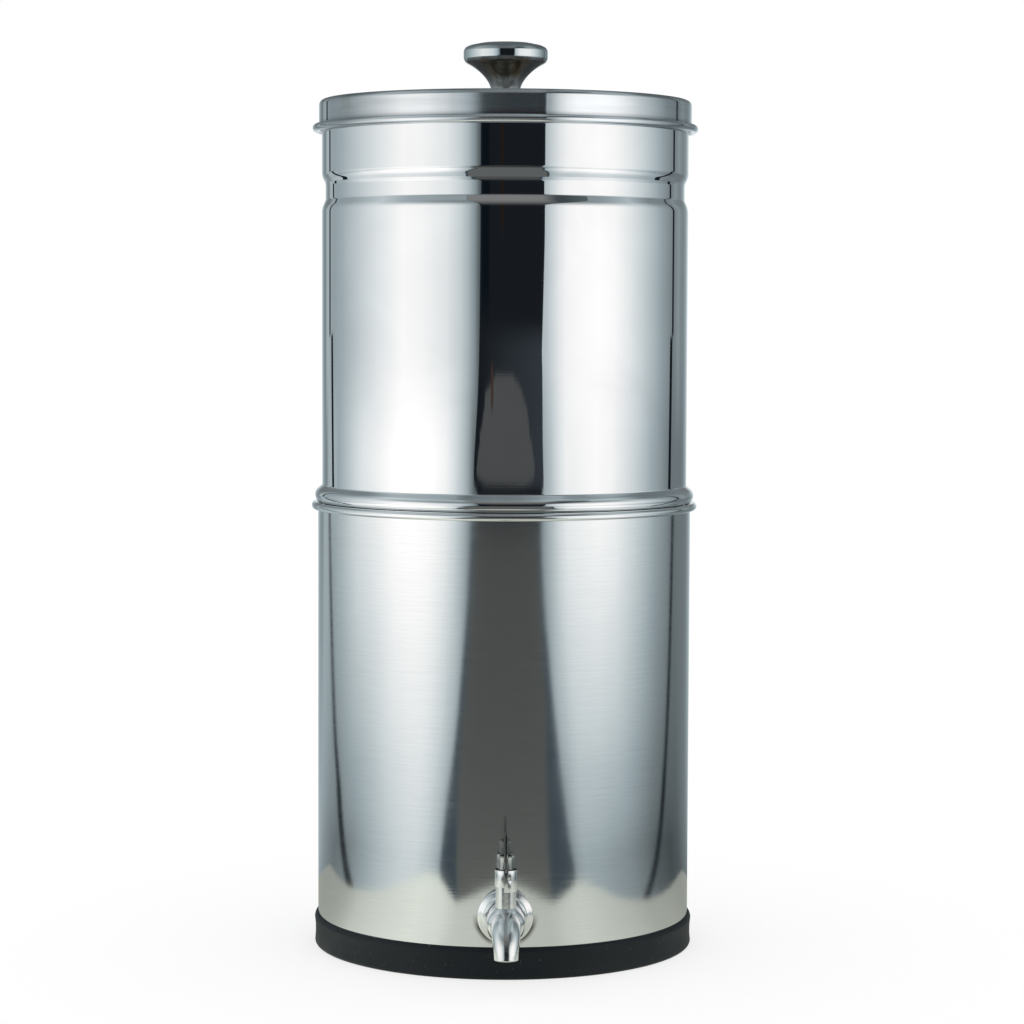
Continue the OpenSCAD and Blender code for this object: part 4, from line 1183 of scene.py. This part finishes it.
def boards_glow():
    """The boards' light by bearing and by closeness to the filter, and by how steeply they are seen."""
    made, tree, glow = glow_nodes("studio_boards")
    x, y, z = position(tree)
    bearing = bearing_of(tree, x, y)
    closeness = maths(tree, "DIVIDE", 0.3, hypotenuse(tree, x, y))
    steep = minus(tree, 1.0, put(tree, "LayerWeight", {"Blend": 0.5}).outputs["Facing"])
    near = times(tree, minus(tree, level_at(tree, closeness, NEARNESS, 0.0, 1.0), 0.2),
                 spread(tree, steep, 0.2, 0.27, 1.0, 0.0, smooth=True))
    level = screens(tree, bearing, spread(tree, closeness, 0.0075, 0.0555, smooth=True), near)
    level = times(tree, level, spread(tree, steep, 0.2, 0.28, 1.0, 1.2))
    light = cooled(tree, times(tree, level, spread(tree, steep, 0.4, 0.72, 1.0, 0.575)))
    dark_left, dark_right = edges(tree, closeness, 1.0, DARK_BOARDS)
    wide = spread(tree, steep, 0.2, 0.27)
    drawn_in = spread(tree, closeness, 0.68, 0.8, 6.5, 0.0)
    dark_left = plus(tree, dark_left, times(tree, wide, drawn_in))
    dark_right = minus(tree, dark_right, times(tree, drawn_in, spread(tree, steep, 0.2, 0.42, 0.0, 1.12)))
    light = blended(tree, within(tree, bearing, dark_left, dark_right, 0.8), light, (0.048, 0.068, 0.085))
    inner = blended(tree, spread(tree, closeness, 0.1, 0.7), (0.083, 0.088, 0.086), (0.118, 0.126, 0.119))
    inner = blended(tree, spread(tree, steep, 0.2, 0.28), inner, (0.135, 0.143, 0.143))
    grey_left, grey_right = edges(tree, closeness, 1.0, GREY_BOARDS)
    reach_left = plus(tree, minus(tree, dark_left, grey_left), 1.6)
    reach_right = minus(tree, minus(tree, dark_right, grey_right), 1.6)
    grey_left = plus(tree, grey_left, times(tree, wide, reach_left))
    grey_right = plus(tree, grey_right, times(tree, wide, reach_right))
    light = blended(tree, within(tree, bearing, grey_left, grey_right, 0.9), light, inner)
    left_seam = seam_mask(tree, x, y, -1, SEAM_LEFT, 0.068)
    right_seam = seam_mask(tree, x, y, 1, SEAM_RIGHT, 0.05)
    light = blended(tree, maths(tree, "MAXIMUM", left_seam, right_seam), light, (0.008, 0.012, 0.015))
    fill(tree, glow, {"Color": light})
    return made


boards = studio_sheet("studio_boards", [
    (-30, -30), (-15.3, -30), (-1.83, -3.6), (1.83, -3.6), (15.3, -30), (30, -30), (30, 30), (-30, 30),
], -0.0006, ("glossy",))
boards.data.materials.append(boards_glow())
table = studio_sheet("studio_table", [
    (-0.168, 0.19), (-0.25, 0.183), (-0.296, 0.16), (-0.302, 0.12), (-0.302, -0.04), (-0.299, -0.19),
    (-0.294, -0.24), (-0.281, -0.287), (-0.261, -0.320), (-0.230, -0.334), (-0.195, -0.326), (-0.159, -0.310),
    (-0.130, -0.297), (-0.103, -0.324), (-0.078, -0.348), (-0.049, -0.369), (-0.023, -0.382), (0.008, -0.388),
    (0.036, -0.385), (0.059, -0.375), (0.080, -0.360), (0.099, -0.344), (0.129, -0.303), (0.142, -0.290),
    (0.188, -0.291), (0.240, -0.295), (0.259, -0.278), (0.271, -0.25), (0.277, -0.20), (0.274, -0.05),
    (0.271, 0.04), (0.264, 0.111), (0.256, 0.15), (0.235, 0.185), (0.205, 0.196),
], -0.0003, ("glossy",))
TABLE_LEFT = [
    (0, 0.62), (23, 0.70), (31, 0.87), (44, 0.94), (57, 0.86), (71, 0.76), (82, 0.66), (88, 0.55), (95, 0.47),
    (103, 0.42), (120, 0.38),
]
TABLE_RIGHT = [
    (0, 0.62), (23, 0.61), (31, 0.71), (39, 0.75), (48, 0.70), (71, 0.56), (82, 0.48), (95, 0.45),
    (103, 0.42), (120, 0.36),
]
table_white, tree, glow = glow_nodes("studio_table")
x, y, z = position(tree)
table_level = by_bearing(tree, bearing_of(tree, x, y), TABLE_LEFT, TABLE_RIGHT)
table_tint = [times(tree, table_level, part) for part in (0.94, 1.0, 0.91)]
fill(tree, glow, {"Color": put(tree, "CombineColor", dict(enumerate(table_tint))).outputs[0]})
table.data.materials.append(table_white)

# The tap faces a hair to one side of the camera, so the camera and its studio stand turned by that angle.
FACING = Matrix.Rotation(math.radians(-0.74), 4, "Z")
for thing in (room, boards, table):
    thing.matrix_world = FACING

floor = studio_sheet("studio_floor", [(-30, -30), (30, -30), (30, 30), (-30, 30)], 0.0,
                     ("camera", "diffuse", "transmission", "shadow"))
FLOOR_GREY = (0.36, 0.36, 0.36)
FLOOR_GLOW = 0.66
floor_white, tree, shader = finish_nodes("studio_floor")
floor.data.materials.append(floor_white)
paper = noise(tree, own_place(tree), 3.0)
fill(tree, shader, {
    "Base Color": blended(tree, paper, FLOOR_GREY, (0.365, 0.365, 0.365)),
    "Roughness": 1.0,
    "Specular IOR Level": 0.0,
    "Emission Color": (1, 1, 1, 1),
    "Emission Strength": times(tree, put(tree, "LightPath").outputs["Is Camera Ray"], FLOOR_GLOW),
})
floor_white.cycles.emission_sampling = "NONE"

sky = bpy.data.worlds.new("studio_sky")
bpy.context.scene.world = sky
sky.use_nodes = True
fill(sky.node_tree, sky.node_tree.nodes["Background"], {"Color": (1, 1, 1, 1), "Strength": 1.0})
sky.cycles_visibility.glossy = False

# ---- Camera ---------------------------------------------------------------------------------
# A long lens, 1.76 m in front of the filter's axis and 370 mm above the floor. It looks slightly down and
# to one side, and is rolled by a fifth of a degree.

EYE = Vector((0.0, -1.7567, 0.37007))
YAW, PITCH, ROLL = (math.radians(a) for a in (-0.1496, 3.8587, 0.2176))
FOCAL_PX = 3025.0
FRAME_PX = 1024
SENSOR = 36.0

cy, sy = math.cos(YAW), math.sin(YAW)
cp, sp = math.cos(PITCH), math.sin(PITCH)
cr, sr = math.cos(ROLL), math.sin(ROLL)
right = Vector((cr * cy - sr * sp * sy, cr * sy + sr * sp * cy, sr * cp))
up = Vector((-sr * cy - cr * sp * sy, -sr * sy + cr * sp * cy, cr * cp))
ahead = Vector((-cp * sy, cp * cy, -sp))
lens = bpy.data.cameras.new("camera")
lens.sensor_width = SENSOR
lens.lens = FOCAL_PX * SENSOR / FRAME_PX
lens.clip_end = 200
camera = bpy.data.objects.new("camera", lens)
bpy.context.scene.collection.objects.link(camera)
camera.matrix_world = FACING @ Matrix.Translation(EYE) @ Matrix((right, up, -ahead)).transposed().to_4x4()
bpy.context.scene.camera = camera
bpy.context.scene.view_settings.view_transform = "Standard"
